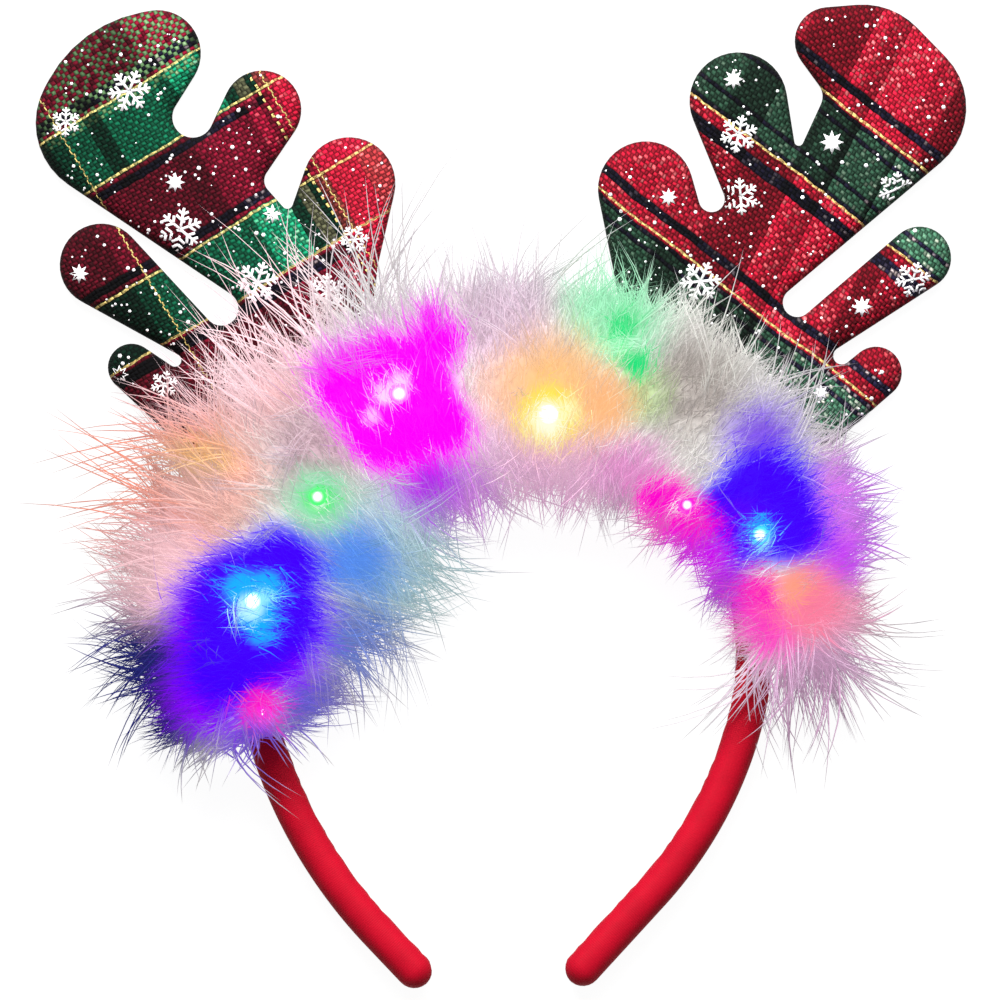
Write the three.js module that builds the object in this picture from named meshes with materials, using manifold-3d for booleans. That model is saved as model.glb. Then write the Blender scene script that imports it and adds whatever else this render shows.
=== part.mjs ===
// Light-up reindeer antler headband, lying on its back: a cloth-covered hoop that is open at the bottom,
// two padded antlers, a feather boa wound along the hoop's top, and small bulbs in the boa.
// Millimetres. +X is to the right, +Y runs from the hoop's tips to the antlers, +Z is up from the floor.
import * as THREE from "three";
import { mergeVertices } from "three/addons/utils/BufferGeometryUtils.js";
import Module from "manifold-3d";

// Driving dimensions of the hoop, whose crown is centred on the drawing's own origin
const CROWN_RADIUS = 67.5; // centreline radius of the round top
const CROWN_DROP = THREE.MathUtils.degToRad(14); // how far the crown's arc runs below its centre
// Each leg: the centreline radius and sweep of its bend, and the straight stretch down to its tip
const LEFT_LEG = { radius: 130, sweep: THREE.MathUtils.degToRad(29.5), straight: 19 };
const RIGHT_LEG = { radius: 110, sweep: THREE.MathUtils.degToRad(28.5), straight: 32 };
const BAND_WIDTH = 9.8; // across the band, in the hoop's plane
const BAND_DEPTH = 11; // along Z, as it lies
const BAND_SQUARENESS = 0.72; // 1 is an ellipse, smaller is closer to a box
const BAND_SIDES = 12;
const BAND_STEP = 11; // distance between sections
const TIP_ROUND = 5; // length of the rounding at each tip
const TIP_SECTIONS = [0.02, 0.12, 0.34, 0.66]; // where a tip's sections lie, as shares of its rounding

// Driving dimensions of the antlers
const PAD_THICKNESS = 6.4;
const PAD_ARC_STEP = THREE.MathUtils.degToRad(27); // turn between two points of a round edge
// The padded edge from back to front: inset is how far in from the outline, at a share of the thickness
const PAD_EDGE = [
  { inset: 3.2, height: 0 },
  { inset: 0.7, height: 0.14 },
  { inset: 0, height: 0.38 },
  { inset: 0.9, height: 0.74 },
  { inset: 4.4, height: 1 },
];

// Each antler's outline runs anticlockwise round these discs: a positive r is a round tip or corner,
// a negative r is the round end of a gap between two tines.
const RIGHT_ANTLER = [
  { at: "outer corner", x: 64, y: 36, r: 3 },
  { at: "low tine", x: 100.6, y: 76.5, r: 7 },
  { at: "low gap", x: 91.4, y: 81, r: -2.3 },
  { at: "side tine", x: 112.4, y: 107.4, r: 8.5 },
  { at: "side gap", x: 79.4, y: 95.4, r: -3.9 },
  { at: "top tine's side", x: 105.5, y: 148, r: 19.5 },
  { at: "top tine's shoulder", x: 97, y: 155.3, r: 20.5 },
  { at: "top tine's tip", x: 87.9, y: 165.9, r: 9.2 },
  { at: "neck of the top gap", x: 81.2, y: 151, r: -5 },
  { at: "top gap", x: 79.8, y: 138.9, r: -1.2 },
  { at: "middle tine", x: 63.5, y: 149.7, r: 13.2 },
  { at: "middle gap", x: 56.3, y: 123.3, r: -3.5 },
  { at: "inner tine", x: 38.5, y: 126, r: 12.9 },
  { at: "inner corner", x: 34, y: 58, r: 3 },
];
const LEFT_ANTLER = [
  { at: "inner corner", x: -34, y: 58, r: 3 },
  { at: "waist", x: -26.3, y: 104, r: -7.6 },
  { at: "inner tine", x: -41.5, y: 127.5, r: 12.5 },
  { at: "middle gap", x: -58.2, y: 122.2, r: -1.5 },
  { at: "neck of the middle gap", x: -60.8, y: 128.3, r: -3.6 },
  { at: "middle tine", x: -65, y: 147.4, r: 10.6 },
  { at: "top gap", x: -83.7, y: 145.4, r: -5.5 },
  { at: "top tine's tip", x: -93.2, y: 162.6, r: 11.7 },
  { at: "top tine's shoulder", x: -90.9, y: 138.3, r: 36 },
  { at: "top tine's side", x: -106, y: 143.8, r: 20.1 },
  { at: "side gap", x: -76, y: 93.8, r: -4.6 },
  { at: "side tine", x: -108.4, y: 105.5, r: 11.2 },
  { at: "low gap", x: -88.5, y: 79.8, r: -1.7 },
  { at: "low tine", x: -100.2, y: 77.9, r: 6.4 },
  { at: "outer corner", x: -64, y: 36, r: 3 },
];

// The boa's dense body: along is the distance from the crown's top, positive to the right, shift is how far
// its middle lies outside the band's centreline, half is its half width, top its height, and reach is how
// far its locks stand out.
const BOA = [
  { along: -128, shift: 2, half: 9, top: 18, reach: 6 },
  { along: -120, shift: 3, half: 18, top: 30, reach: 11 },
  { along: -95, shift: 3, half: 23, top: 37, reach: 22 },
  { along: -60, shift: 2, half: 26, top: 39, reach: 24 },
  { along: -25, shift: 5, half: 24, top: 39, reach: 19 },
  { along: 5, shift: 6, half: 22, top: 37, reach: 14 },
  { along: 30, shift: 9, half: 23, top: 37, reach: 15 },
  { along: 55, shift: 12, half: 21, top: 37, reach: 13 },
  { along: 78, shift: 14, half: 17.5, top: 34, reach: 13 },
  { along: 98, shift: 12, half: 12, top: 27, reach: 9 },
  { along: 108, shift: 11, half: 8, top: 17, reach: 8 },
];
const BOA_FLOOR = 0.5; // lowest point of the boa
const BOA_MIDDLE = 0.4; // height of its widest point as a share of its top
const BOA_SIDES = 12;
const BOA_STEP = 9;
const LOCK_COUNT = 92;
const LOCK_TURN = THREE.MathUtils.degToRad(137.5); // turn round the boa from one lock to the next
const LOCK_FAN = THREE.MathUtils.degToRad(196); // the locks fan over this much of the boa's section
const LOCK_LOW = THREE.MathUtils.degToRad(-8); // from this far below level on the outer side
const LOCK_ROOT = 0.62; // a lock starts at this share of the way from the boa's middle to its surface
const LOCK_WIDTH = 7; // half of a lock's width where it leaves the boa
const LOCK_FLATNESS = 0.55; // its thickness as a share of its width
const LOCK_TIP = 0.6;
const LOCK_SIDES = 4;
const LOCK_RINGS = [0, 0.55, 1]; // where its sections lie, as shares of its length
const LOCK_TAPER = 1.4; // above 1 a lock stays full before it runs to its tip
const LOCK_SHORTEST = 0.5; // the shortest lock, as a share of the longest
const LOCK_LENGTH_BEAT = 2.4; // how fast the locks' lengths change from one to the next
const LOCK_LEAN = 1.1; // how far a lock leans along the boa, as a share of its reach
const LOCK_LEAN_BEAT = 1.7; // how fast the leans change from one lock to the next
const LOCK_RISE = 0.7; // how steeply a lock stands up
const LOCK_DROOP = 0.3; // how far its tip hangs, as a share of its length
// Longer tufts that hang off the boa's ends: side is which end, out and on give the direction
const END_TUFTS = [
  { side: 1, out: 0.45, on: 1, length: 27 },
  { side: 1, out: -0.02, on: 1, length: 28 },
  { side: 1, out: -0.6, on: 0.5, length: 10 },
  { side: -1, out: 1.2, on: -0.3, length: 16 },
  { side: -1, out: 0.6, on: 0.3, length: 7 },
  { side: -1, out: -1, on: -0.05, length: 22 },
];

// Bulbs: along and out place each one on the boa as above, and sink is how deep its base sits below the
// boa's surface
const BULB_RADIUS = 2.4;
const BULB_COLLAR = 2.9; // radius of the base
const BULB_COLLAR_HEIGHT = 1.4;
const BULB_HEIGHT = 6.4;
const BULB_SIDES = 10;
const BULB_DOME = [0, 30, 60].map(THREE.MathUtils.degToRad); // turns of the dome's sections
const POCKET_HEIGHT = 60; // a bulb's pocket is cut up through everything above it
const BULBS = [
  { along: -121.6, out: -1.5, sink: 4, colour: "#ff5fa8" },
  { along: -91, out: 1, sink: 4, colour: "#2a6bff" },
  { along: -64, out: 19, sink: 8, colour: "#ff9a3c" },
  { along: -57.7, out: -2, sink: 4, colour: "#35f06a" },
  { along: -25.3, out: 8.2, sink: 4, colour: "#ff2bff" },
  { along: 12.5, out: -1.3, sink: 4, colour: "#ffe23a" },
  { along: 24.5, out: 20, sink: 8, colour: "#35f06a" },
  { along: 59.3, out: -3.6, sink: 4, colour: "#ff5fa8" },
  { along: 76, out: 8.5, sink: 4, colour: "#2a6bff" },
  { along: 91.2, out: 7.8, sink: 7, colour: "#ff9a3c" },
];

const GAP = 0.35; // clearance between pieces that meet
const MERGE = 1e-4; // points closer than this are one

const wasm = await Module();
wasm.setup();

// Closed geometry as a solid that can be joined and cut.
function toSolid(geometry) {
  const bare = geometry.clone();
  bare.deleteAttribute("normal");
  bare.deleteAttribute("uv");
  const merged = mergeVertices(bare, MERGE);
  return new wasm.Manifold(
    new wasm.Mesh({
      numProp: 3,
      vertProperties: new Float32Array(merged.attributes.position.array),
      triVerts: new Uint32Array(merged.index.array),
    }),
  );
}

// A cut or joined solid back as geometry.
function toGeometry(solid) {
  const mesh = solid.getMesh();
  const geometry = new THREE.BufferGeometry();
  geometry.setAttribute("position", new THREE.BufferAttribute(mesh.vertProperties, 3));
  geometry.setIndex(new THREE.BufferAttribute(mesh.triVerts, 1));
  geometry.computeVertexNormals();
  return geometry;
}

// Geometry through rings of equally many points, closed by caps that the given triangles of a ring fill.
// Each ring runs anticlockwise as seen from the end of the loft.
function loft(rings, capTriangles) {
  const count = rings[0].length;
  const last = (rings.length - 1) * count;
  const index = [];
  for (let ring = 0; ring < rings.length - 1; ring++) {
    for (let i = 0; i < count; i++) {
      const a = ring * count + i;
      const b = ring * count + ((i + 1) % count);
      index.push(a, b, b + count, a, b + count, a + count);
    }
  }
  for (const [a, b, c] of capTriangles) {
    index.push(a, c, b, last + a, last + b, last + c);
  }
  const geometry = new THREE.BufferGeometry().setFromPoints(rings.flat());
  geometry.setIndex(index);
  geometry.computeVertexNormals();
  return geometry;
}

// Triangles that fan across a convex ring.
function fan(count) {
  return Array.from({ length: count - 2 }, (_, i) => [0, i + 1, i + 2]);
}

const CROWN_LENGTH = CROWN_RADIUS * (Math.PI / 2 + CROWN_DROP);
const tipOf = (leg) => CROWN_LENGTH + leg.radius * leg.sweep + leg.straight;
const LEFT_TIP = -tipOf(LEFT_LEG);
const RIGHT_TIP = tipOf(RIGHT_LEG);

// The band's centreline at a distance from the crown's top: its point, the way out of the hoop, and the
// way on along the band towards its right tip.
function hoopAt(along) {
  const side = along < 0 ? -1 : 1;
  const leg = along < 0 ? LEFT_LEG : RIGHT_LEG;
  const distance = Math.abs(along);
  const onLeg = distance - CROWN_LENGTH;
  const onStraight = onLeg - leg.radius * leg.sweep;
  let fall = distance / CROWN_RADIUS - Math.PI / 2;
  if (onLeg > 0) fall = CROWN_DROP + Math.min(onLeg / leg.radius, leg.sweep);
  const out = new THREE.Vector2(Math.cos(fall), -Math.sin(fall));
  const on = new THREE.Vector2(-Math.sin(fall), -Math.cos(fall));
  const point = out.clone().multiplyScalar(CROWN_RADIUS);
  if (onLeg > 0) {
    const legCentre = new THREE.Vector2(Math.cos(CROWN_DROP), -Math.sin(CROWN_DROP));
    legCentre.multiplyScalar(CROWN_RADIUS - leg.radius);
    point.copy(out).multiplyScalar(leg.radius).add(legCentre);
  }
  if (onStraight > 0) point.addScaledVector(on, onStraight);
  const mirror = new THREE.Vector2(side, 1);
  on.multiply(mirror).multiplyScalar(side);
  return { point: point.multiply(mirror), out: out.multiply(mirror), on };
}

// A point beside the band: out of the hoop from its centreline, and z above the floor.
function besideBand(along, out, z) {
  const { point, out: way } = hoopAt(along);
  return new THREE.Vector3(point.x + way.x * out, point.y + way.y * out, z);
}

// A closed section across the band, anticlockwise as seen from its right end.
function sectionAt(along, sides, place) {
  return Array.from({ length: sides }, (_, i) => {
    const { out, z } = place((i / sides) * 2 * Math.PI);
    return besideBand(along, out, z);
  });
}

// Distances along the hoop from one end to the other, about a step apart.
function stations(from, to, step) {
  const count = Math.ceil((to - from) / step);
  return Array.from({ length: count + 1 }, (_, i) => THREE.MathUtils.lerp(from, to, i / count));
}

// The band, or the space that it needs when grown by a clearance.
function bandGeometry(grow) {
  const soften = (value) => Math.sign(value) * Math.abs(value) ** BAND_SQUARENESS;
  const roundings = TIP_SECTIONS.map((share) => share * TIP_ROUND);
  const places = [
    ...roundings.map((inset) => LEFT_TIP + inset),
    ...stations(LEFT_TIP + TIP_ROUND, 0, BAND_STEP),
    ...stations(0, RIGHT_TIP - TIP_ROUND, BAND_STEP).slice(1),
    ...roundings.toReversed().map((inset) => RIGHT_TIP - inset),
  ];
  const rings = places.map((along) => {
    const toTip = Math.min(along - LEFT_TIP, RIGHT_TIP - along, TIP_ROUND) / TIP_ROUND;
    const size = Math.sqrt(1 - (1 - toTip) ** 2);
    return sectionAt(along, BAND_SIDES, (turn) => ({
      out: (BAND_WIDTH / 2 + grow) * size * soften(Math.cos(turn)),
      z: BAND_DEPTH / 2 + (BAND_DEPTH / 2 + grow) * size * soften(Math.sin(turn)),
    }));
  });
  return loft(rings, fan(BAND_SIDES));
}

// An outline that runs anticlockwise round the discs like a belt, moved out by a margin.
function beltOutline(discs, margin) {
  const turns = discs.map((disc, i) => {
    const next = discs[(i + 1) % discs.length];
    const run = Math.hypot(next.x - disc.x, next.y - disc.y);
    return Math.atan2(next.y - disc.y, next.x - disc.x) - Math.acos((disc.r - next.r) / run);
  });
  return discs.flatMap((disc, i) => {
    const from = turns[(i + discs.length - 1) % discs.length];
    const whole = 2 * Math.PI;
    const wrapped = THREE.MathUtils.euclideanModulo(turns[i] - from, whole);
    const sweep = disc.r > 0 ? wrapped : wrapped - whole;
    const steps = Math.max(2, Math.ceil(Math.abs(sweep) / PAD_ARC_STEP));
    return Array.from({ length: steps + 1 }, (_, step) => {
      const turn = from + (sweep * step) / steps;
      const reach = disc.r + margin;
      return new THREE.Vector2(disc.x + reach * Math.cos(turn), disc.y + reach * Math.sin(turn));
    });
  });
}

// A flat form through outlines of the same discs, each with its margin and height.
function padGeometry(discs, layers) {
  const triangles = THREE.ShapeUtils.triangulateShape(beltOutline(discs, 0), []);
  const rings = layers.map(({ margin, z }) =>
    beltOutline(discs, margin).map(({ x, y }) => new THREE.Vector3(x, y, z)),
  );
  return loft(rings, triangles);
}

// The space that an antler needs inside the boa, open to the floor.
function antlerSpace(discs) {
  return padGeometry(discs, [
    { margin: GAP, z: -GAP },
    { margin: GAP, z: PAD_THICKNESS + GAP },
  ]);
}

function antlerGeometry(discs, bandSpace) {
  const layers = PAD_EDGE.map(({ inset, height }) => ({ margin: -inset, z: height * PAD_THICKNESS }));
  return toGeometry(toSolid(padGeometry(discs, layers)).subtract(bandSpace));
}

// The boa's sizes at a distance along the hoop, eased from row to row of its table.
function boaAt(along) {
  const place = BOA.findIndex((row) => row.along > along);
  const upper = place < 0 ? BOA.length - 1 : Math.max(place, 1);
  const [from, to] = [BOA[upper - 1], BOA[upper]];
  const ease = THREE.MathUtils.smoothstep(along, from.along, to.along);
  const mix = (column) => THREE.MathUtils.lerp(from[column], to[column], ease);
  return { shift: mix("shift"), half: mix("half"), top: mix("top"), reach: mix("reach") };
}

// A point of the boa's section, at a share of the way from its middle to its surface.
function boaPoint({ shift, half, top }, turn, share) {
  const middle = top * BOA_MIDDLE;
  const rise = Math.sin(turn) > 0 ? top - middle : middle - BOA_FLOOR;
  return { out: shift + share * half * Math.cos(turn), z: middle + share * rise * Math.sin(turn) };
}

function boaBody() {
  const places = stations(BOA[0].along, BOA.at(-1).along, BOA_STEP);
  const rings = places.map((along) => {
    const size = boaAt(along);
    return sectionAt(along, BOA_SIDES, (turn) => boaPoint(size, turn, 1));
  });
  return toSolid(loft(rings, fan(BOA_SIDES)));
}

// A lock of feather: a tapered, drooping tuft from a root along a way.
function lockSolid(root, way) {
  const across = new THREE.Vector3().crossVectors(way, new THREE.Vector3(0, 0, 1)).normalize();
  const lift = new THREE.Vector3().crossVectors(across, way).normalize();
  const length = way.length();
  const lowest = BOA_FLOOR + LOCK_TIP;
  const rings = LOCK_RINGS.map((share) => {
    const middle = root.clone().addScaledVector(way, share);
    const radius = THREE.MathUtils.lerp(LOCK_WIDTH, LOCK_TIP, share ** LOCK_TAPER);
    middle.z = Math.max(middle.z - LOCK_DROOP * length * share ** 2, lowest + LOCK_FLATNESS * radius);
    return Array.from({ length: LOCK_SIDES }, (_, i) => {
      const turn = (i / LOCK_SIDES) * 2 * Math.PI;
      const spot = middle.clone().addScaledVector(across, -radius * Math.cos(turn));
      return spot.addScaledVector(lift, LOCK_FLATNESS * radius * Math.sin(turn));
    });
  });
  return toSolid(loft(rings, fan(LOCK_SIDES)));
}

// Locks all along the boa, each turned on from the last.
function boaLocks() {
  const [first, last] = [BOA[0].along, BOA.at(-1).along];
  return Array.from({ length: LOCK_COUNT }, (_, i) => {
    const along = THREE.MathUtils.lerp(first, last, (i + 0.5) / LOCK_COUNT);
    const size = boaAt(along);
    const turn = LOCK_LOW + ((i * LOCK_TURN) % LOCK_FAN);
    const root = boaPoint(size, turn, LOCK_ROOT);
    const edge = boaPoint(size, turn, 1);
    const beat = 0.5 + 0.5 * Math.sin(i * LOCK_LENGTH_BEAT);
    const length = size.reach * THREE.MathUtils.lerp(LOCK_SHORTEST, 1, beat);
    const tip = { out: edge.out + length * Math.cos(turn), z: edge.z + LOCK_RISE * length * Math.sin(turn) };
    const from = besideBand(along, root.out, root.z);
    const way = besideBand(along, tip.out, tip.z).sub(from);
    const { on } = hoopAt(along);
    const sway = LOCK_LEAN * size.reach * Math.sin(i * LOCK_LEAN_BEAT);
    const lean = THREE.MathUtils.clamp(along + sway, first, last) - along;
    way.add(new THREE.Vector3(on.x * lean, on.y * lean, 0));
    return lockSolid(from, way);
  });
}

// Tufts that hang off the boa's ends.
function boaTufts() {
  return END_TUFTS.map(({ side, out, on, length }) => {
    const along = side > 0 ? BOA.at(-2).along : BOA[1].along;
    const size = boaAt(along);
    const hoop = hoopAt(along);
    const from = besideBand(along, size.shift + out * size.half * LOCK_ROOT, size.top * BOA_MIDDLE);
    const way = hoop.out.clone().multiplyScalar(out).addScaledVector(hoop.on, on * side);
    way.normalize().multiplyScalar(length + size.half * (1 - LOCK_ROOT));
    return lockSolid(from, new THREE.Vector3(way.x, way.y, 0));
  });
}

// Where a bulb's base sits on the boa.
function bulbSeat({ along, out, sink }) {
  const { shift, half, top } = boaAt(along);
  const middle = top * BOA_MIDDLE;
  const across = Math.min(1, Math.abs(out - shift) / half);
  const surface = middle + (top - middle) * Math.sqrt(1 - across ** 2);
  return besideBand(along, out, surface - sink);
}

function bulbGeometry() {
  const straight = BULB_HEIGHT - BULB_RADIUS;
  const dome = BULB_DOME.map(
    (turn) => new THREE.Vector2(BULB_RADIUS * Math.cos(turn), straight + BULB_RADIUS * Math.sin(turn)),
  );
  const profile = [
    new THREE.Vector2(0, 0),
    new THREE.Vector2(BULB_COLLAR, 0),
    new THREE.Vector2(BULB_COLLAR, BULB_COLLAR_HEIGHT),
    ...dome,
    new THREE.Vector2(0, BULB_HEIGHT),
  ];
  return new THREE.LatheGeometry(profile, BULB_SIDES).rotateX(Math.PI / 2);
}

// The pocket that a bulb sits in, open at the top.
function bulbPocket(seat) {
  const radius = BULB_COLLAR + GAP;
  const pocket = new THREE.CylinderGeometry(radius, radius, POCKET_HEIGHT, BULB_SIDES);
  pocket.rotateX(Math.PI / 2).translate(seat.x, seat.y, seat.z - GAP + POCKET_HEIGHT / 2);
  return toSolid(pocket);
}

function boaGeometry(bandSpace) {
  let boa = boaBody();
  for (const lock of [...boaLocks(), ...boaTufts()]) boa = boa.add(lock);
  boa = boa.subtract(bandSpace);
  for (const discs of [LEFT_ANTLER, RIGHT_ANTLER]) boa = boa.subtract(toSolid(antlerSpace(discs)));
  for (const bulb of BULBS) boa = boa.subtract(bulbPocket(bulbSeat(bulb)));
  // A lock's tip that ends up under an antler is left out.
  const [body] = boa.decompose().sort((a, b) => b.volume() - a.volume());
  return toGeometry(body);
}

function piece(name, geometry, colour, roughness) {
  const material = new THREE.MeshStandardMaterial({ color: colour, roughness, metalness: 0 });
  const mesh = new THREE.Mesh(geometry, material);
  mesh.name = name;
  return mesh;
}

const bandSpace = toSolid(bandGeometry(GAP));
const headband = new THREE.Group();
headband.add(piece("head_band", bandGeometry(0), "#c8102e", 0.85));
headband.add(piece("antler_left", antlerGeometry(LEFT_ANTLER, bandSpace), "#7a1f2b", 0.9));
headband.add(piece("antler_right", antlerGeometry(RIGHT_ANTLER, bandSpace), "#7a1f2b", 0.9));
headband.add(piece("feather_boa", boaGeometry(bandSpace), "#f2efee", 0.95));
BULBS.forEach((bulb, i) => {
  const mesh = piece(`led_${i + 1}`, bulbGeometry(), bulb.colour, 0.25);
  mesh.position.copy(bulbSeat(bulb));
  headband.add(mesh);
});

// The part's origin is under the middle of its box, on the floor.
const box = new THREE.Box3().setFromObject(headband);
const middle = box.getCenter(new THREE.Vector3());
for (const mesh of headband.children) mesh.position.sub(new THREE.Vector3(middle.x, middle.y, box.min.z));

export default headband;
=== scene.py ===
"""Dresses the light-up reindeer antler headband: its sleeve, tartan antlers, feather boa and lit bulbs."""

import logging
import math
from dataclasses import dataclass, field
from enum import Enum
from typing import Any, Sequence

import bpy
import numpy as np
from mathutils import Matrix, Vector, noise
from mathutils.bvhtree import BVHTree
from mathutils.geometry import delaunay_2d_cdt


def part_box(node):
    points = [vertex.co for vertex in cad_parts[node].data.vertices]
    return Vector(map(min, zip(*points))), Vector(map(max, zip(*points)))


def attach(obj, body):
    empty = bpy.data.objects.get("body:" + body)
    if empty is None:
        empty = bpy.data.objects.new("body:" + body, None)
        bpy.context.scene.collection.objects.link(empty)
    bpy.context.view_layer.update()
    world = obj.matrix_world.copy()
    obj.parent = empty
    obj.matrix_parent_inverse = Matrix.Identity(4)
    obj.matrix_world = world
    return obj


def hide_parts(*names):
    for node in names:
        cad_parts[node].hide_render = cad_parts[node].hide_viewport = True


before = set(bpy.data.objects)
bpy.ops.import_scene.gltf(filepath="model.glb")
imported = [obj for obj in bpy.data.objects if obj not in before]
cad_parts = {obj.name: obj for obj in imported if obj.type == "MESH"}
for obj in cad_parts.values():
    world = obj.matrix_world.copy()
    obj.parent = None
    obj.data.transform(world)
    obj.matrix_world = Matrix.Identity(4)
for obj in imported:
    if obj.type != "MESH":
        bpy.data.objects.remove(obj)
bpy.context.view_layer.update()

LOG = logging.getLogger("headband")

BODY = "root"
MM = 0.001
UP = np.array([0.0, 0.0, 1.0])
RIGHT = np.array([1.0, 0.0, 0.0])
FULL_TURN = 2 * math.pi
FINE_DETAIL = 3.0

# A height in millimetres above both antlers.
ABOVE_ANTLERS = 50.0

# Slack of the outline's maths.
SAME_TURN = 1e-6
SAME_POINT = 1e-7
NO_RISE = 1e-9
NO_LENGTH = 1e-12

Array = np.ndarray
Draws = np.random.Generator
Material = bpy.types.Material
Piece = bpy.types.Object
Range = tuple[float, float]
Triple = tuple[float, float, float]
Colour = Triple
ScreenColour = tuple[int, int, int]


def paint(red: int, green: int, blue: int) -> Colour:
    """Turns a screen colour, 0 to 255, into the linear colour that the shaders use.

    Args:
        red: Red on the screen.
        green: Green on the screen.
        blue: Blue on the screen.

    Returns:
        The linear colour.
    """
    shares = [channel / 255 for channel in (red, green, blue)]
    return tuple(s / 12.92 if s <= 0.04045 else ((s + 0.055) / 1.055) ** 2.4 for s in shares)


def smoothstep(share: Array) -> Array:
    """Eases a share of 0 to 1 at both its ends."""
    held = np.clip(share, 0, 1)
    return held * held * (3 - 2 * held)


def unit(vectors: Array) -> Array:
    """Brings each row of vectors to length 1."""
    return vectors / np.linalg.norm(vectors, axis=-1, keepdims=True)


def stand(name: str, data: bpy.types.ID, place: Sequence[float] = (0.0, 0.0, 0.0)) -> Piece:
    """Puts a mesh, a light or a camera into the scene.

    Args:
        name: The object's name.
        data: What it shows.
        place: Where it stands.

    Returns:
        The object.
    """
    thing = bpy.data.objects.new(name, data)
    thing.location = place
    bpy.context.scene.collection.objects.link(thing)
    return thing


class Value:
    """A shader socket on which Python's operators add Math nodes."""

    def __init__(self, shader: "Shader", socket: bpy.types.NodeSocket | None) -> None:
        """Keeps the socket and the shader that it belongs to."""
        self.shader = shader
        self.socket = socket

    def math(self, operation: str, *others: Any) -> "Value":
        """Adds a Math node that has this value as its first input."""
        return self.shader.math(operation, self, *others)

    def held(self) -> "Value":
        """Holds the value between 0 and 1."""
        return self.math("MINIMUM", 1.0).math("MAXIMUM", 0.0)

    def between(self, low: float, high: float) -> "Value":
        """Spreads a share of 0 to 1 over the range from low to high."""
        return self * (high - low) + low

    def __add__(self, other: Any) -> "Value":
        """Adds a value or a number."""
        return self.math("ADD", other)

    __radd__ = __add__

    def __sub__(self, other: Any) -> "Value":
        """Takes a value or a number away."""
        return self.math("SUBTRACT", other)

    def __rsub__(self, other: Any) -> "Value":
        """Takes this value away from a number."""
        return self.shader.math("SUBTRACT", other, self)

    def __mul__(self, other: Any) -> "Value":
        """Multiplies by a value or a number."""
        return self.math("MULTIPLY", other)

    __rmul__ = __mul__

    def __truediv__(self, other: Any) -> "Value":
        """Divides by a value or a number."""
        return self.math("DIVIDE", other)

    def __rtruediv__(self, other: Any) -> "Value":
        """Divides a number by this value."""
        return self.shader.math("DIVIDE", other, self)

    def __pow__(self, other: Any) -> "Value":
        """Raises to a power."""
        return self.math("POWER", other)


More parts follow.
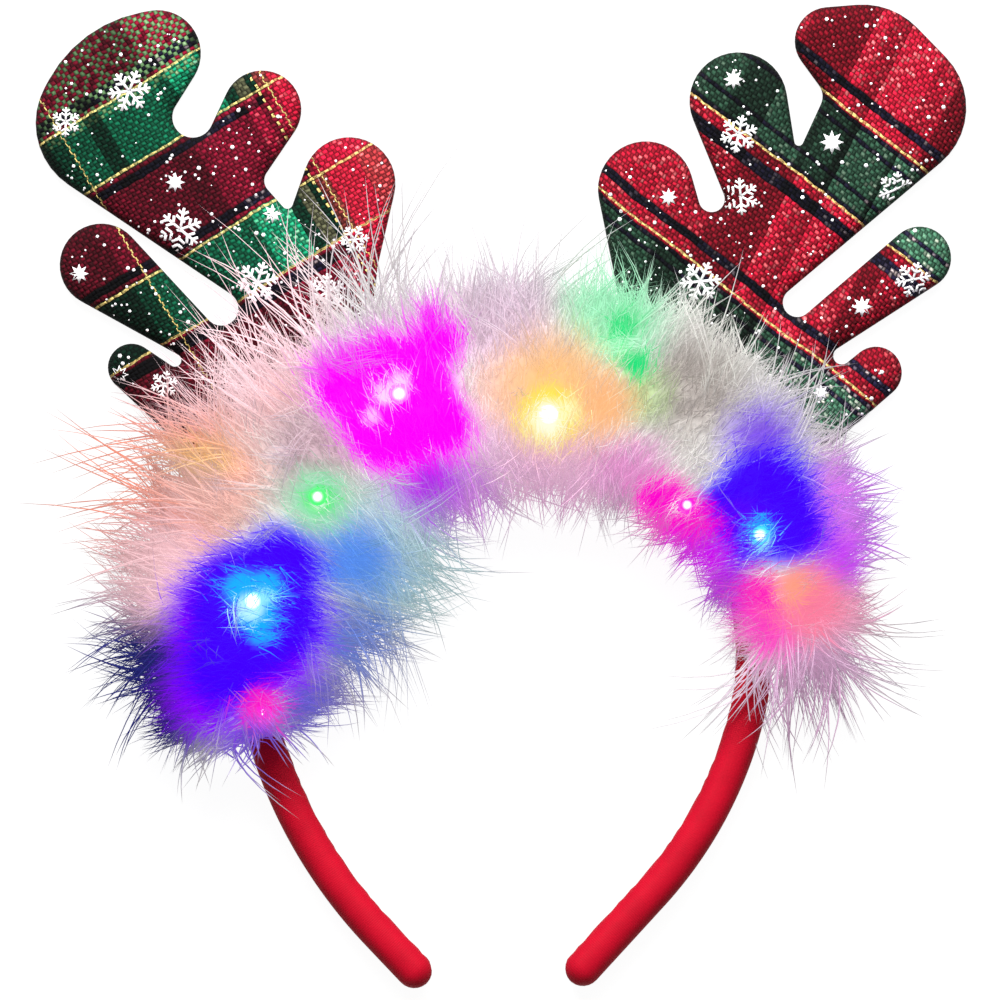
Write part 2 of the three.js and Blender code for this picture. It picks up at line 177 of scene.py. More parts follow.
class Shader:
    """One material, whose nodes are added by expressions and by a single node method."""

    def __init__(self, name: str) -> None:
        """Starts an empty material.

        Args:
            name: The material's name.
        """
        self.material = bpy.data.materials.new(name)
        self.material.use_nodes = True
        self.tree = self.material.node_tree
        self.tree.nodes.clear()

    def node(
        self,
        kind: str,
        settings: dict[str, Any] | None = None,
        sockets: dict[int | str, Any] | None = None,
        output: int | str = 0,
    ) -> Value:
        """Adds one node.

        Args:
            kind: Blender's name for the node's type.
            settings: The node's own settings, with a ramp's stops as (place, colour) rows under "stops".
            sockets: A number, colour or value for each input that is set.
            output: The output that is wanted.

        Returns:
            The wanted output.
        """
        made = self.tree.nodes.new(kind)
        for name, setting in (settings or {}).items():
            if name == "stops":
                self._set_stops(made.color_ramp, setting)
            else:
                setattr(made, name, setting)
        for name, value in (sockets or {}).items():
            if isinstance(value, Value):
                self.tree.links.new(value.socket, made.inputs[name])
            else:
                made.inputs[name].default_value = value
        return Value(self, made.outputs[output] if made.outputs else None)

    @staticmethod
    def _set_stops(ramp: bpy.types.ColorRamp, stops: Sequence[tuple[float, Colour]]) -> None:
        """Gives a ramp hard-edged stops.

        Args:
            ramp: The ramp.
            stops: The place and the colour of each stop.
        """
        ramp.interpolation = "CONSTANT"
        while len(ramp.elements) < len(stops):
            ramp.elements.new(1.0)
        for element, (place, colour) in zip(ramp.elements, stops):
            element.position = place
            element.color = (*colour, 1)

    def math(self, operation: str, *values: Any) -> Value:
        """Adds a Math node of that operation on values or numbers."""
        return self.node("ShaderNodeMath", {"operation": operation}, dict(enumerate(values)))

    def scaled(self, colour: Any, amount: Any) -> Value:
        """Multiplies a colour or vector by one number."""
        settings = {"operation": "SCALE"}
        return self.node("ShaderNodeVectorMath", settings, {0: colour, "Scale": amount})

    def mix(self, share: Any, first: Any, second: Any) -> Value:
        """Mixes two colours: the second's share is given."""
        sockets = {0: share, 6: self._solid(first), 7: self._solid(second)}
        return self.node("ShaderNodeMix", {"data_type": "RGBA"}, sockets, 2)

    @staticmethod
    def _solid(colour: Any) -> Any:
        """Gives a plain colour its fourth channel, and leaves a value as it is."""
        return colour if isinstance(colour, Value) else (*colour, 1)

    def place(self) -> Value:
        """Gives the shaded point's place, in millimetres in the row frame."""
        point = self.node("ShaderNodeTexCoord", output="Object")
        return self.scaled(point, 1 / MM)

    def noise(self, point: Value, scale: float, detail: float = 2.0) -> Value:
        """Gives smooth noise around 0.5 that has about `scale` waves a millimetre."""
        return self.node("ShaderNodeTexNoise", None, {"Vector": point, "Scale": scale, "Detail": detail})

    def attribute(self, name: str, output: str = "Fac") -> Value:
        """Gives a number or a colour that the mesh holds for each point."""
        return self.node("ShaderNodeAttribute", {"attribute_name": name}, None, output)

    def split(self, vector: Value) -> tuple[Value, Value, Value]:
        """Takes a vector or a colour apart."""
        return tuple(self.node("ShaderNodeSeparateXYZ", None, {0: vector}, axis) for axis in "XYZ")

    def join(self, x: Any, y: Any, z: Any) -> Value:
        """Puts three numbers together as a vector."""
        return self.node("ShaderNodeCombineXYZ", None, {"X": x, "Y": y, "Z": z})

    def bump(self, height: Value, depth_mm: float) -> Value:
        """Turns a height of 0 to 1 into a normal, for relief of that depth."""
        return self.node("ShaderNodeBump", None, {"Height": height, "Distance": depth_mm * MM})

    def finish(self, sockets: dict[str, Any]) -> Material:
        """Ends the material in a Principled shader.

        Args:
            sockets: The shader's sockets that are set or linked.

        Returns:
            The finished material.
        """
        surface = self.node("ShaderNodeBsdfPrincipled", None, sockets)
        self.node("ShaderNodeOutputMaterial", None, {"Surface": surface})
        return self.material


@dataclass(frozen=True)
class Leg:
    """One leg of the hoop: the radius and sweep of its bend, and the straight stretch down to its tip."""

    radius: float
    sweep: float
    straight: float

    @property
    def length(self) -> float:
        """Length from the crown's end to the tip."""
        return self.radius * self.sweep + self.straight


@dataclass(frozen=True)
class Hoop:
    """The line that the headband follows, in drawing millimetres from the middle of its round crown."""

    crown_radius: float = 67.5
    crown_drop: float = math.radians(14)
    left: Leg = Leg(130.0, math.radians(29.5), 19.0)
    right: Leg = Leg(110.0, math.radians(28.5), 32.0)
    band_width: float = 9.8
    band_depth: float = 11.0

    @property
    def crown_length(self) -> float:
        """Length of half the crown, from its top to where a leg starts."""
        return self.crown_radius * (math.pi / 2 + self.crown_drop)

    @property
    def tips(self) -> tuple[float, float]:
        """Places of the left and the right tip along the hoop."""
        return -self.crown_length - self.left.length, self.crown_length + self.right.length

    def at(self, along: Array) -> tuple[Array, Array, Array]:
        """Finds points of the line.

        Args:
            along: Lengths from the top of the crown, positive to the right.

        Returns:
            The points, the directions out of the hoop, and the directions of growing length.
        """
        side = np.where(along < 0, -1.0, 1.0)
        radius = np.where(along < 0, self.left.radius, self.right.radius)
        sweep = np.where(along < 0, self.left.sweep, self.right.sweep)
        past = np.abs(along) - self.crown_length
        leg_turn = self.crown_drop + np.clip(past / radius, 0, sweep)
        turn = np.where(past > 0, leg_turn, np.abs(along) / self.crown_radius - math.pi / 2)
        out = np.stack([np.cos(turn), -np.sin(turn)], axis=-1)
        on = np.stack([-np.sin(turn), -np.cos(turn)], axis=-1)
        drop = np.array([math.cos(self.crown_drop), -math.sin(self.crown_drop)])
        straight = np.maximum(past - radius * sweep, 0)[..., None]
        bend = radius[..., None]
        leg = (self.crown_radius - bend) * drop + bend * out + straight * on
        point = np.where(past[..., None] > 0, leg, self.crown_radius * out)
        mirror = np.stack([side, np.ones_like(side)], axis=-1)
        return point * mirror, out * mirror, on * mirror * side[..., None]

    def beside(self, along: Array, out: Array, height: Array) -> Array:
        """Gives points at a distance out of the line and a height over the floor."""
        point, outward, _ = self.at(along)
        return np.concatenate([point + outward * out[..., None], height[..., None]], axis=-1)


class Workshop:
    """Turns drawing millimetres into meshes in the row frame and hands them to the frame."""

    def __init__(self, hoop: Hoop) -> None:
        """Finds the hoop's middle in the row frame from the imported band.

        Args:
            hoop: The line that the headband follows.
        """
        low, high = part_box("head_band")
        middle_y = high.y - (hoop.crown_radius + hoop.band_width / 2) * MM
        self.middle = np.array([(low.x + high.x) / 2, middle_y, 0.0])

    def row(self, points: Array) -> Array:
        """Brings drawing points, in millimetres, into the row frame in metres."""
        return np.asarray(points, float) * MM + self.middle

    def drawing(self, points: Sequence[Sequence[float]]) -> Array:
        """Brings row points, in metres, into the drawing in millimetres."""
        return (np.asarray(points, float) - self.middle) / MM

    def mesh(self, name: str, points: Array, faces: Sequence[Array]) -> Piece:
        """Makes a smooth mesh piece.

        Args:
            name: The piece's name.
            points: Drawing points, one a row.
            faces: Arrays of corner numbers, one array for triangles and one for quads, say.

        Returns:
            The piece, linked to the scene.
        """
        mesh = bpy.data.meshes.new(name)
        kinds = [np.asarray(kind, np.int32) for kind in faces if len(kind)]
        corners = np.concatenate([kind.ravel() for kind in kinds])
        sizes = np.concatenate([np.full(len(kind), kind.shape[1], np.int32) for kind in kinds])
        mesh.vertices.add(len(points))
        mesh.vertices.foreach_set("co", self.row(points).astype(np.float32).ravel())
        mesh.loops.add(len(corners))
        mesh.loops.foreach_set("vertex_index", corners)
        mesh.polygons.add(len(sizes))
        mesh.polygons.foreach_set("loop_start", np.cumsum(sizes) - sizes)
        mesh.polygons.foreach_set("use_smooth", np.ones(len(sizes), bool))
        mesh.update(calc_edges=True)
        mesh.validate()
        return stand(name, mesh)

    @staticmethod
    def give(piece: Piece, material: Material, slot: str, nodes: Sequence[str] = ()) -> Piece:
        """Dresses a piece and ties it to the frame.

        Args:
            piece: The piece.
            material: Its finish.
            slot: The record's slot for that finish; not used.
            nodes: The solids that it stands for.

        Returns:
            The same piece.
        """
        piece.data.materials.append(material)
        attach(piece, BODY)
        if nodes:
            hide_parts(*nodes)
        LOG.info("%s: %d faces", piece.name, len(piece.data.polygons))
        return piece


def hold(piece: Piece, name: str, numbers: Array) -> None:
    """Stores a number for each point of a piece's mesh."""
    layer = piece.data.attributes.new(name, "FLOAT", "POINT")
    layer.data.foreach_set("value", np.asarray(numbers, np.float32))


def hold_colours(piece: Piece, name: str, colours: Array) -> None:
    """Stores a colour, with its fourth channel, for each point of a piece's mesh."""
    layer = piece.data.attributes.new(name, "FLOAT_COLOR", "POINT")
    layer.data.foreach_set("color", np.asarray(colours, np.float32).ravel())


def lay_flat_map(piece: Piece) -> None:
    """Gives a piece of many strands a plain map named OFBake, straight down onto the floor.

    Args:
        piece: The piece.
    """
    mesh = piece.data
    points = np.empty(len(mesh.vertices) * 3, np.float32)
    mesh.vertices.foreach_get("co", points)
    flat = points.reshape(-1, 3)[:, :2]
    low = flat.min(axis=0)
    shares = (flat - low) / (flat.max(axis=0) - low).max()
    corners = np.empty(len(mesh.loops), np.int32)
    mesh.loops.foreach_get("vertex_index", corners)
    mesh.uv_layers.new(name="OFBake").data.foreach_set("uv", shares[corners].ravel())


def ring_faces(rings: int, sides: int) -> Array:
    """Numbers the quads between closed rings of points that follow each other.

    Args:
        rings: How many rings there are.
        sides: How many points each ring has.

    Returns:
        The quads' corners.
    """
    ring, side = np.meshgrid(np.arange(rings - 1), np.arange(sides), indexing="ij")
    after = (side + 1) % sides
    near, far = ring * sides, (ring + 1) * sides
    return np.stack([near + side, near + after, far + after, far + side], axis=-1).reshape(-1, 4)


def cap_faces(start: int, sides: int, centre: int, last: bool) -> Array:
    """Numbers the triangles that close one ring of a loft with a centre point.

    Args:
        start: The number of the ring's first point.
        sides: How many points the ring has.
        centre: The number of the centre point.
        last: True for the loft's last ring, False for its first.

    Returns:
        The triangles' corners.
    """
    side = np.arange(sides)
    after = (side + 1) % sides
    first, second = (side, after) if last else (after, side)
    return np.stack([start + first, start + second, np.full(sides, centre)], axis=-1)


def loft_faces(rings: int, sides: int) -> list[Array]:
    """Numbers the faces of a closed loft, whose two end points come after the points of its rings.

    Args:
        rings: How many rings there are.
        sides: How many points each ring has.

    Returns:
        The quads between the rings, and the triangles at both ends.
    """
    total = rings * sides
    first = cap_faces(0, sides, total, False)
    last = cap_faces(total - sides, sides, total + 1, True)
    return [ring_faces(rings, sides), np.concatenate([first, last])]


@dataclass(frozen=True)
class Ripple:
    """A smooth unevenness: its waves a millimetre, its share in the whole, and a shift of its seed."""

    waves: float
    share: float
    shift: int = 0

    def over(self, flat: Array, seed: int) -> Array:
        """Gives the unevenness at flat points."""
        level = seed + self.shift
        return self.share * np.array([noise.noise((x, y, level)) for x, y in flat * self.waves])

    def through(self, points: Array) -> Array:
        """Gives the unevenness at points in space."""
        return self.share * np.array([noise.noise(tuple(point)) for point in points * self.waves])


@dataclass(frozen=True)
class SleeveFinish:
    """Fine red knit, ribbed along the hoop and a little clouded."""

    bright: Colour = paint(206, 6, 40)
    deep: Colour = paint(158, 3, 28)
    cloud_waves: float = 0.12
    cloud_tone: Range = (-0.1, 0.6)
    grain_tone: float = 0.5
    roughness: Range = (0.56, 0.76)
    shine: float = 0.12
    rib_pitch_mm: float = 0.55
    rib_height: float = 0.125
    grain_height: float = 0.5
    relief_mm: float = 0.09

    def material(self) -> Material:
        """Builds the sleeve's material.

        Returns:
            The material.
        """
        shader = Shader("red_sleeve")
        point = shader.place()
        cloud = shader.noise(point, self.cloud_waves)
        grain = shader.noise(point, 1 / self.rib_pitch_mm, FINE_DETAIL)
        rib = (shader.attribute("along") * (FULL_TURN / self.rib_pitch_mm)).math("SINE")
        shade = cloud.between(*self.cloud_tone) + grain * self.grain_tone
        return shader.finish({
            "Base Color": shader.mix(shade, self.deep, self.bright),
            "Roughness": grain.between(*self.roughness),
            "Specular IOR Level": self.shine,
            "Normal": shader.bump(rib * self.rib_height + grain * self.grain_height, self.relief_mm),
        })


class Thread(Enum):
    """The yarns of the tartan, and the painted highlight on their crowns, by their colours on the screen."""

    CRIMSON = (168, 20, 56)
    RUBY = (170, 20, 44)
    GREEN = (18, 132, 92)
    PINE = (50, 86, 66)
    BLACK = (20, 17, 36)
    SCARLET = (224, 26, 62)
    YELLOW = (232, 208, 128)
    MOSS = (90, 124, 82)
    # Painted highlight on yarn crowns, not a yarn.
    PAINTED_GLINT = (236, 214, 206)

    @property
    def linear(self) -> Colour:
        """The yarn's colour as the shaders use it."""
        return paint(*self.value)


@dataclass(frozen=True)
class Stripe:
    """One stripe of a sett: its yarn, and how far from the sett's middle it ends."""

    thread: Thread
    end: float


@dataclass(frozen=True)
class Sett:
    """Stripes that mirror about a middle and repeat both ways, with a fine yellow line, in millimetres."""

    middle: float
    stripes: tuple[Stripe, ...]
    line: float

    @property
    def half(self) -> float:
        """Distance from the sett's middle to where it mirrors."""
        return self.stripes[-1].end

    def fold(self, across: Value) -> Value:
        """Gives the distance from the sett's middle, mirrored and repeated."""
        return (across - self.middle).math("PINGPONG", self.half)

    def colour(self, shader: Shader, across: Value) -> Value:
        """Finds a yarn's colour.

        Args:
            shader: The material that the nodes go to.
            across: The place across the stripes.

        Returns:
            The colour at that place.
        """
        starts = [0.0, *(stripe.end / self.half for stripe in self.stripes[:-1])]
        stops = [(start, stripe.thread.linear) for start, stripe in zip(starts, self.stripes)]
        return shader.node("ShaderNodeValToRGB", {"stops": stops}, {0: self.fold(across) / self.half})


@dataclass(frozen=True)
class WarpBand:
    """Warp yarns up to an end: how they lift the red and the green rows, and the share of scarlet in them."""

    end: float
    red: float
    green: float
    scarlet: float = 0.0


@dataclass(frozen=True)
class Weave:
    """The weave at the shaded point: places, yarn middles, the yarn on top, a chance, height and fibre."""

    warp_place: Value
    weft_place: Value
    warp_middle: Value
    weft_middle: Value
    warp_over: Value
    chance: Value
    height: Value
    fibre: Value


@dataclass(frozen=True)
class TartanFinish:
    """Coarse plain-woven tartan, laid at a slant on one antler."""

    name: str
    slant: float
    skew: float
    middle: tuple[float, float]
    weft: Sett
    warp_start: float
    warp: tuple[WarpBand, ...]
    warp_lines: tuple[float, ...]
    mingled_from: float
    pitch: float = 1.16
    bow: float = 2.4
    bow_waves: float = 0.03
    ripple: float = 0.9
    ripple_waves: float = 0.4
    fibre_waves: float = 1.9
    dip: float = 0.5
    highest_lift: float = 4.0
    red_contrast: float = 40.0
    under_tone: float = 0.45
    yarn_tone: Range = (0.75, 1.25)
    # Painted shade in the gaps between yarns, from each yarn's round height.
    gap_shade_power: float = 0.8
    gap_shade_tone: Range = (0.25, 1.1)
    fibre_tone: Range = (0.55, 1.45)
    edge_width: float = 1.3
    edge_tone: Range = (0.55, 1.0)
    plain_share: float = 0.75
    # Painted highlight on the crowns of the lightest yarns.
    glint_lift: float = 0.6
    glint_strength: float = 2.2
    unmingled_share: float = 0.25
    moss_lift: float = 2.0
    moss_brightest: float = 1.4
    line_width: float = 0.36
    line_sharpness: float = 4.0
    line_sunk: float = 0.6
    line_gaps: float = 0.3
    line_fray: float = 6.0
    line_tone: Range = (0.5, 1.3)
    roughness: Range = (0.8, 1.0)
    shine: float = 0.15
    fibre_height: float = 0.3
    relief_mm: float = 0.35

    def material(self, workshop: Workshop) -> Material:
        """Builds the tartan's material.

        Args:
            workshop: Holds where the drawing lies in the row frame.

        Returns:
            The material.
        """
        shader = Shader(self.name)
        weave = self._weave(shader, workshop)
        cloth, lift = self._lifted(shader, weave)
        mingled = self._mingled(weave)
        moss_tone = (lift * self.moss_lift).math("MINIMUM", self.moss_brightest)
        with_moss = shader.mix(mingled, cloth, shader.scaled(Thread.MOSS.linear, moss_tone))
        # Painted highlight: pale glints on the crowns of the lightest yarns.
        glinted = shader.mix(self._glints(weave, lift), with_moss, Thread.PAINTED_GLINT.linear)
        # The yarn tones, painted shade in the yarn gaps, fibres and edge darken the cloth.
        shaded = shader.scaled(glinted, self._shade(shader, weave, mingled))
        yellow = shader.scaled(Thread.YELLOW.linear, weave.fibre.between(*self.line_tone))
        return shader.finish({
            "Base Color": shader.mix(self._lines(weave), shaded, yellow),
            "Roughness": weave.fibre.between(*self.roughness),
            "Specular IOR Level": self.shine,
            "Normal": shader.bump(weave.height + weave.fibre * self.fibre_height, self.relief_mm),
        })

    def _weave(self, shader: Shader, workshop: Workshop) -> Weave:
        """Lays the yarns over and under each other.

        Args:
            shader: The material that the nodes go to.
            workshop: Holds where the drawing lies in the row frame.

        Returns:
            The weave at the shaded point.
        """
        point = shader.place()
        warp_place, weft_place = self._places(shader, point, workshop)
        warp_cell = (warp_place / self.pitch).math("FLOOR")
        weft_cell = (weft_place / self.pitch).math("FLOOR")
        warp_over = (warp_cell + weft_cell).math("FLOORED_MODULO", 2.0)
        warp_round = self._round(warp_place, warp_cell)
        weft_round = self._round(weft_place, weft_cell)
        cell = shader.join(warp_cell, weft_cell, 0.0)
        return Weave(
            warp_place=warp_place,
            weft_place=weft_place,
            warp_middle=(warp_cell + 0.5) * self.pitch,
            weft_middle=(weft_cell + 0.5) * self.pitch,
            warp_over=warp_over,
            chance=shader.node("ShaderNodeTexWhiteNoise", {"noise_dimensions": "2D"}, {"Vector": cell}),
            height=self._over(warp_over, warp_round, weft_round),
            fibre=shader.noise(point, self.fibre_waves, FINE_DETAIL),
        )

    def _places(self, shader: Shader, point: Value, workshop: Workshop) -> tuple[Value, Value]:
        """Gives the places across the warp and across the weft, with the cloth's small waves.

        Args:
            shader: The material that the nodes go to.
            point: The shaded point, in millimetres.
            workshop: Holds where the drawing lies in the row frame.

        Returns:
            The two places.
        """
        start = workshop.row(np.array([*self.middle, 0.0])) / MM
        x, y, _ = shader.split(point)
        right = x - float(start[0])
        up = y - float(start[1])
        bow = (shader.noise(point, self.bow_waves) - 0.5) * self.bow
        ripple = (shader.noise(point, self.ripple_waves) - 0.5) * self.ripple
        weft_place = up * math.cos(self.slant) - right * math.sin(self.slant) + bow + ripple
        straight = right * math.cos(self.slant) + up * math.sin(self.slant)
        warp_place = straight + weft_place * self.skew - ripple
        return warp_place, weft_place

    def _round(self, place: Value, cell: Value) -> Value:
        """Gives a yarn's round height at a place across it: 1 in its middle and 0 at its sides."""
        return ((place / self.pitch - cell - 0.5) * math.pi).math("COSINE")

    def _over(self, warp_over: Value, warp_round: Value, weft_round: Value) -> Value:
        """Gives the height of the yarn that lies on top, which dips where it goes under.

        Args:
            warp_over: 1 where the warp lies on top.
            warp_round: The warp yarn's round height.
            weft_round: The weft yarn's round height.

        Returns:
            The height on top.
        """
        warp_top = warp_round * weft_round.between(self.dip, 1.0)
        weft_top = weft_round * warp_round.between(self.dip, 1.0)
        return warp_over * warp_top + (1 - warp_over) * weft_top

    def _lifted(self, shader: Shader, weave: Weave) -> tuple[Value, Value]:
        """Brings the warp's own lightness and scarlet into the weft's colour.

        Args:
            shader: The material that the nodes go to.
            weave: The weave at the shaded point.

        Returns:
            The cloth's colour and the lift in it.
        """
        weft_colour = self.weft.colour(shader, weave.weft_middle)
        first, last, most = self.warp_start, self.warp[-1].end, self.highest_lift
        starts = [first, *(band.end for band in self.warp[:-1])]
        places = [(start - first) / (last - first) for start in starts]
        lifts = [(band.red / most, band.green / most, band.scarlet) for band in self.warp]
        share = (weave.warp_middle - first) / (last - first)
        ramp = shader.node("ShaderNodeValToRGB", {"stops": list(zip(places, lifts))}, {0: share})
        red_lift, green_lift, scarlet = shader.split(ramp)
        weft_red, weft_green, _ = shader.split(weft_colour)
        red_row = ((weft_red - weft_green) * self.red_contrast).held()
        lift = (green_lift + (red_lift - green_lift) * red_row) * most
        cloth = shader.mix(scarlet, shader.scaled(weft_colour, lift), Thread.SCARLET.linear)
        return cloth, lift

    def _mingled(self, weave: Weave) -> Value:
        """Gives 1 where a moss yarn lies on top, which is only past one row of the cloth."""
        picked = weave.chance.math("GREATER_THAN", self.unmingled_share)
        return weave.weft_place.math("GREATER_THAN", self.mingled_from) * picked * weave.warp_over

    def _glints(self, weave: Weave, lift: Value) -> Value:
        """Gives the share of painted highlight: pale glints on the crowns of a few light yarns."""
        light = (lift - self.glint_lift).math("MAXIMUM", 0.0)
        return (weave.chance - self.plain_share) * light * weave.fibre * weave.height * self.glint_strength

    def _shade(self, shader: Shader, weave: Weave, mingled: Value) -> Value:
        """Gives how light the cloth is: yarn by yarn, with painted shade in the gaps round each yarn, along
        its fibres and at the sewn edge.

        Args:
            shader: The material that the nodes go to.
            weave: The weave at the shaded point.
            mingled: 1 where a moss yarn lies on top.

        Returns:
            The lightness.
        """
        under = weave.warp_over - mingled
        yarn = (1 - under * (1 - self.under_tone)) * weave.chance.between(*self.yarn_tone)
        # Painted shade: each yarn darker at its sides, darkest in the gaps between yarns.
        gap_shade = (weave.height ** self.gap_shade_power).between(*self.gap_shade_tone)
        edge = (shader.attribute("edge") / self.edge_width).math("MINIMUM", 1.0)
        return yarn * (gap_shade * weave.fibre.between(*self.fibre_tone) * edge.between(*self.edge_tone))

    def _lines(self, weave: Weave) -> Value:
        """Gives the cover of the fine yellow lines, which the weave breaks up.

        Args:
            weave: The weave at the shaded point.

        Returns:
            The cover.
        """
        away = (self.weft.fold(weave.weft_place) - self.weft.line).math("ABSOLUTE")
        cover = self._thin(away) * (1 - weave.warp_over * self.line_sunk)
        for line in self.warp_lines:
            dotted = self._thin((weave.warp_place - line).math("ABSOLUTE")) * weave.warp_over
            cover = cover.math("MAXIMUM", dotted)
        return cover * ((weave.fibre - self.line_gaps) * self.line_fray).held()

    def _thin(self, away: Value) -> Value:
        """Turns the distance from a line's middle into its cover."""
        return ((self.line_width - away) * (self.line_sharpness / self.line_width)).held()


@dataclass(frozen=True)
class PrintFinish:
    """White ink of the snowflakes, a little worn in places."""

    ink: Colour = paint(252, 252, 253)
    worn: Colour = paint(206, 198, 202)
    wear_waves: float = 1.4
    wear_from: float = 0.45
    wear_gain: float = 2.0
    roughness: Range = (0.45, 0.75)
    relief_mm: float = 0.08

    def material(self) -> Material:
        """Builds the ink's material.

        Returns:
            The material.
        """
        shader = Shader("white_print")
        wear = shader.noise(shader.place(), self.wear_waves, FINE_DETAIL)
        return shader.finish({
            "Base Color": shader.mix((wear - self.wear_from) * self.wear_gain, self.ink, self.worn),
            "Roughness": wear.between(*self.roughness),
            "Normal": shader.bump(wear, self.relief_mm),
        })


@dataclass(frozen=True)
class FeatherFinish:
    """White down in the painted LED light and shade that its points hold, part of it given out as painted
    glow.
    """

    albedo: float = 0.5
    # Share of painted light that the dull down gives out, which flattens its shading.
    lit: float = 0.47
    fibre_waves: float = 0.9
    fibre_tone: Range = (0.75, 1.25)
    roughness: Range = (0.7, 0.9)
    shine: float = 0.1

    def material(self) -> Material:
        """Builds the down's material.

        Returns:
            The material.
        """
        shader = Shader("white_feather")
        look = shader.attribute("look", "Color")
        glow = shader.attribute("look", "Alpha")
        fibre = shader.noise(shader.place(), self.fibre_waves, FINE_DETAIL)
        # Where the painted glow is full, the base colour is black and the down shows only its painted glow.
        dull = (1 - glow) * fibre.between(*self.fibre_tone)
        return shader.finish({
            "Base Color": shader.scaled(look, dull * self.albedo),
            "Roughness": fibre.between(*self.roughness),
            "Specular IOR Level": self.shine,
            "Emission Color": shader.scaled(look, glow + dull * self.lit),
            "Emission Strength": 1.0,
        })


@dataclass(frozen=True)
class BulbFinish:
    """Clear tinted lens with its light on, white hot over its middle."""

    slot: str
    light: Colour
    hot: Colour = (2.5, 2.5, 2.5)
    streak_waves: float = 0.9
    base_tone: Range = (0.1, 0.3)
    roughness: Range = (0.1, 0.25)
    coat: float = 0.4

    def material(self) -> Material:
        """Builds the lens's material.

        Returns:
            The material.
        """
        shader = Shader(self.slot)
        whiteness = shader.attribute("whiteness")
        streak = shader.noise(shader.place(), self.streak_waves)
        return shader.finish({
            "Base Color": shader.scaled(self.light, streak.between(*self.base_tone)),
            "Roughness": streak.between(*self.roughness),
            "Coat Weight": self.coat,
            "Emission Color": shader.mix(whiteness, self.light, self.hot),
            "Emission Strength": 1.0,
        })


@dataclass
class HeadBand:
    """The sprung hoop in its cloth sleeve, with round tips and a seam along its inside."""

    hoop: Hoop
    squareness: float = 0.9
    sides: int = 32
    step: float = 1.6
    tip_round: float = 5.0
    tip_rings: int = 7
    tip_start: float = 0.04
    seam_depth: float = 0.45
    seam_width: float = math.radians(9)
    seam_edge: float = 0.02
    pucker: float = 0.12
    pucker_waves: float = 0.9
    pucker_folds: int = 3
    drift: float = 2.0
    drift_waves: float = 0.31

    def build(self, workshop: Workshop) -> Piece:
        """Lofts the sleeve.

        Args:
            workshop: Makes the mesh.

        Returns:
            The sleeve.
        """
        along, size = self._stations()
        turn = np.arange(self.sides) * FULL_TURN / self.sides
        round_out = np.sign(np.cos(turn)) * np.abs(np.cos(turn)) ** self.squareness
        round_up = np.sign(np.sin(turn)) * np.abs(np.sin(turn)) ** self.squareness
        half_width, half_depth = self.hoop.band_width / 2, self.hoop.band_depth / 2
        grown = size[:, None] * (1 - self._sunk(along, turn) / half_width)
        height = half_depth * (1 + round_up * size[:, None])
        lengths = np.repeat(along[:, None], self.sides, axis=1)
        rings = self.hoop.beside(lengths, half_width * round_out * grown, height).reshape(-1, 3)
        ends = self.hoop.beside(along[[0, -1]], np.zeros(2), np.full(2, half_depth))
        points = np.concatenate([rings, ends])
        piece = workshop.mesh("head_band_sleeve", points, loft_faces(len(along), self.sides))
        hold(piece, "along", np.concatenate([lengths.ravel(), along[[0, -1]]]))
        return workshop.give(piece, SleeveFinish().material(), "red_sleeve", ["head_band"])

    def _stations(self) -> tuple[Array, Array]:
        """Sets out the sections.

        Returns:
            Their places along the hoop, and the size of each, which falls at the tips.
        """
        left, right = self.hoop.tips
        tip_turn = np.linspace(self.tip_start, 1, self.tip_rings) * math.pi / 2
        back = self.tip_round * (1 - np.cos(tip_turn))
        tip_size = np.sin(tip_turn)
        count = int((right - left - 2 * self.tip_round) / self.step)
        middle = np.linspace(left + self.tip_round, right - self.tip_round, count)[1:-1]
        along = np.concatenate([left + back, middle, right - back[::-1]])
        size = np.concatenate([tip_size, np.ones(len(middle)), tip_size[::-1]])
        return along, size

    def _sunk(self, along: Array, turn: Array) -> Array:
        """Gives how deep the seam and its puckers lie.

        Args:
            along: The sections' places along the hoop.
            turn: The points' turns round a section.

        Returns:
            The depths, section by section.
        """
        place = along[:, None]
        seam = self.seam_depth * np.exp(-((turn - math.pi) / self.seam_width) ** 2)
        drift = self.drift * np.sin(place * self.drift_waves)
        wave = self.pucker * np.sin(place * self.pucker_waves + drift + turn * self.pucker_folds)
        return seam - wave * (seam > self.seam_edge)


@dataclass(frozen=True)
class Disc:
    """A round corner of an antler's outline: a tine's end, or with a negative radius the foot of a gap."""

    x: float
    y: float
    radius: float

    def at(self, turn: float, inset: float) -> tuple[float, float]:
        """Gives the point at a turn, as far inside the outline as the inset says."""
        radius = self.radius - inset
        return self.x + radius * math.cos(turn), self.y + radius * math.sin(turn)

    def belt(self, after: "Disc") -> tuple[float, float]:
        """Runs a belt to the next disc.

        Args:
            after: The next disc.

        Returns:
            The turn at which the belt leaves this disc, and the length of its straight run.
        """
        apart = math.hypot(after.x - self.x, after.y - self.y)
        heading = math.atan2(after.y - self.y, after.x - self.x)
        step = self.radius - after.radius
        return heading - math.acos(step / apart), math.sqrt(apart ** 2 - step ** 2)


class Motif(Enum):
    """The printed shapes."""

    STAR = "star"
    FLAKE = "flake"


@dataclass(frozen=True)
class Twig:
    """One bar of a snowflake's arm: its start, the side it leans to and its length, in radii."""

    start: float
    side: float
    length: float


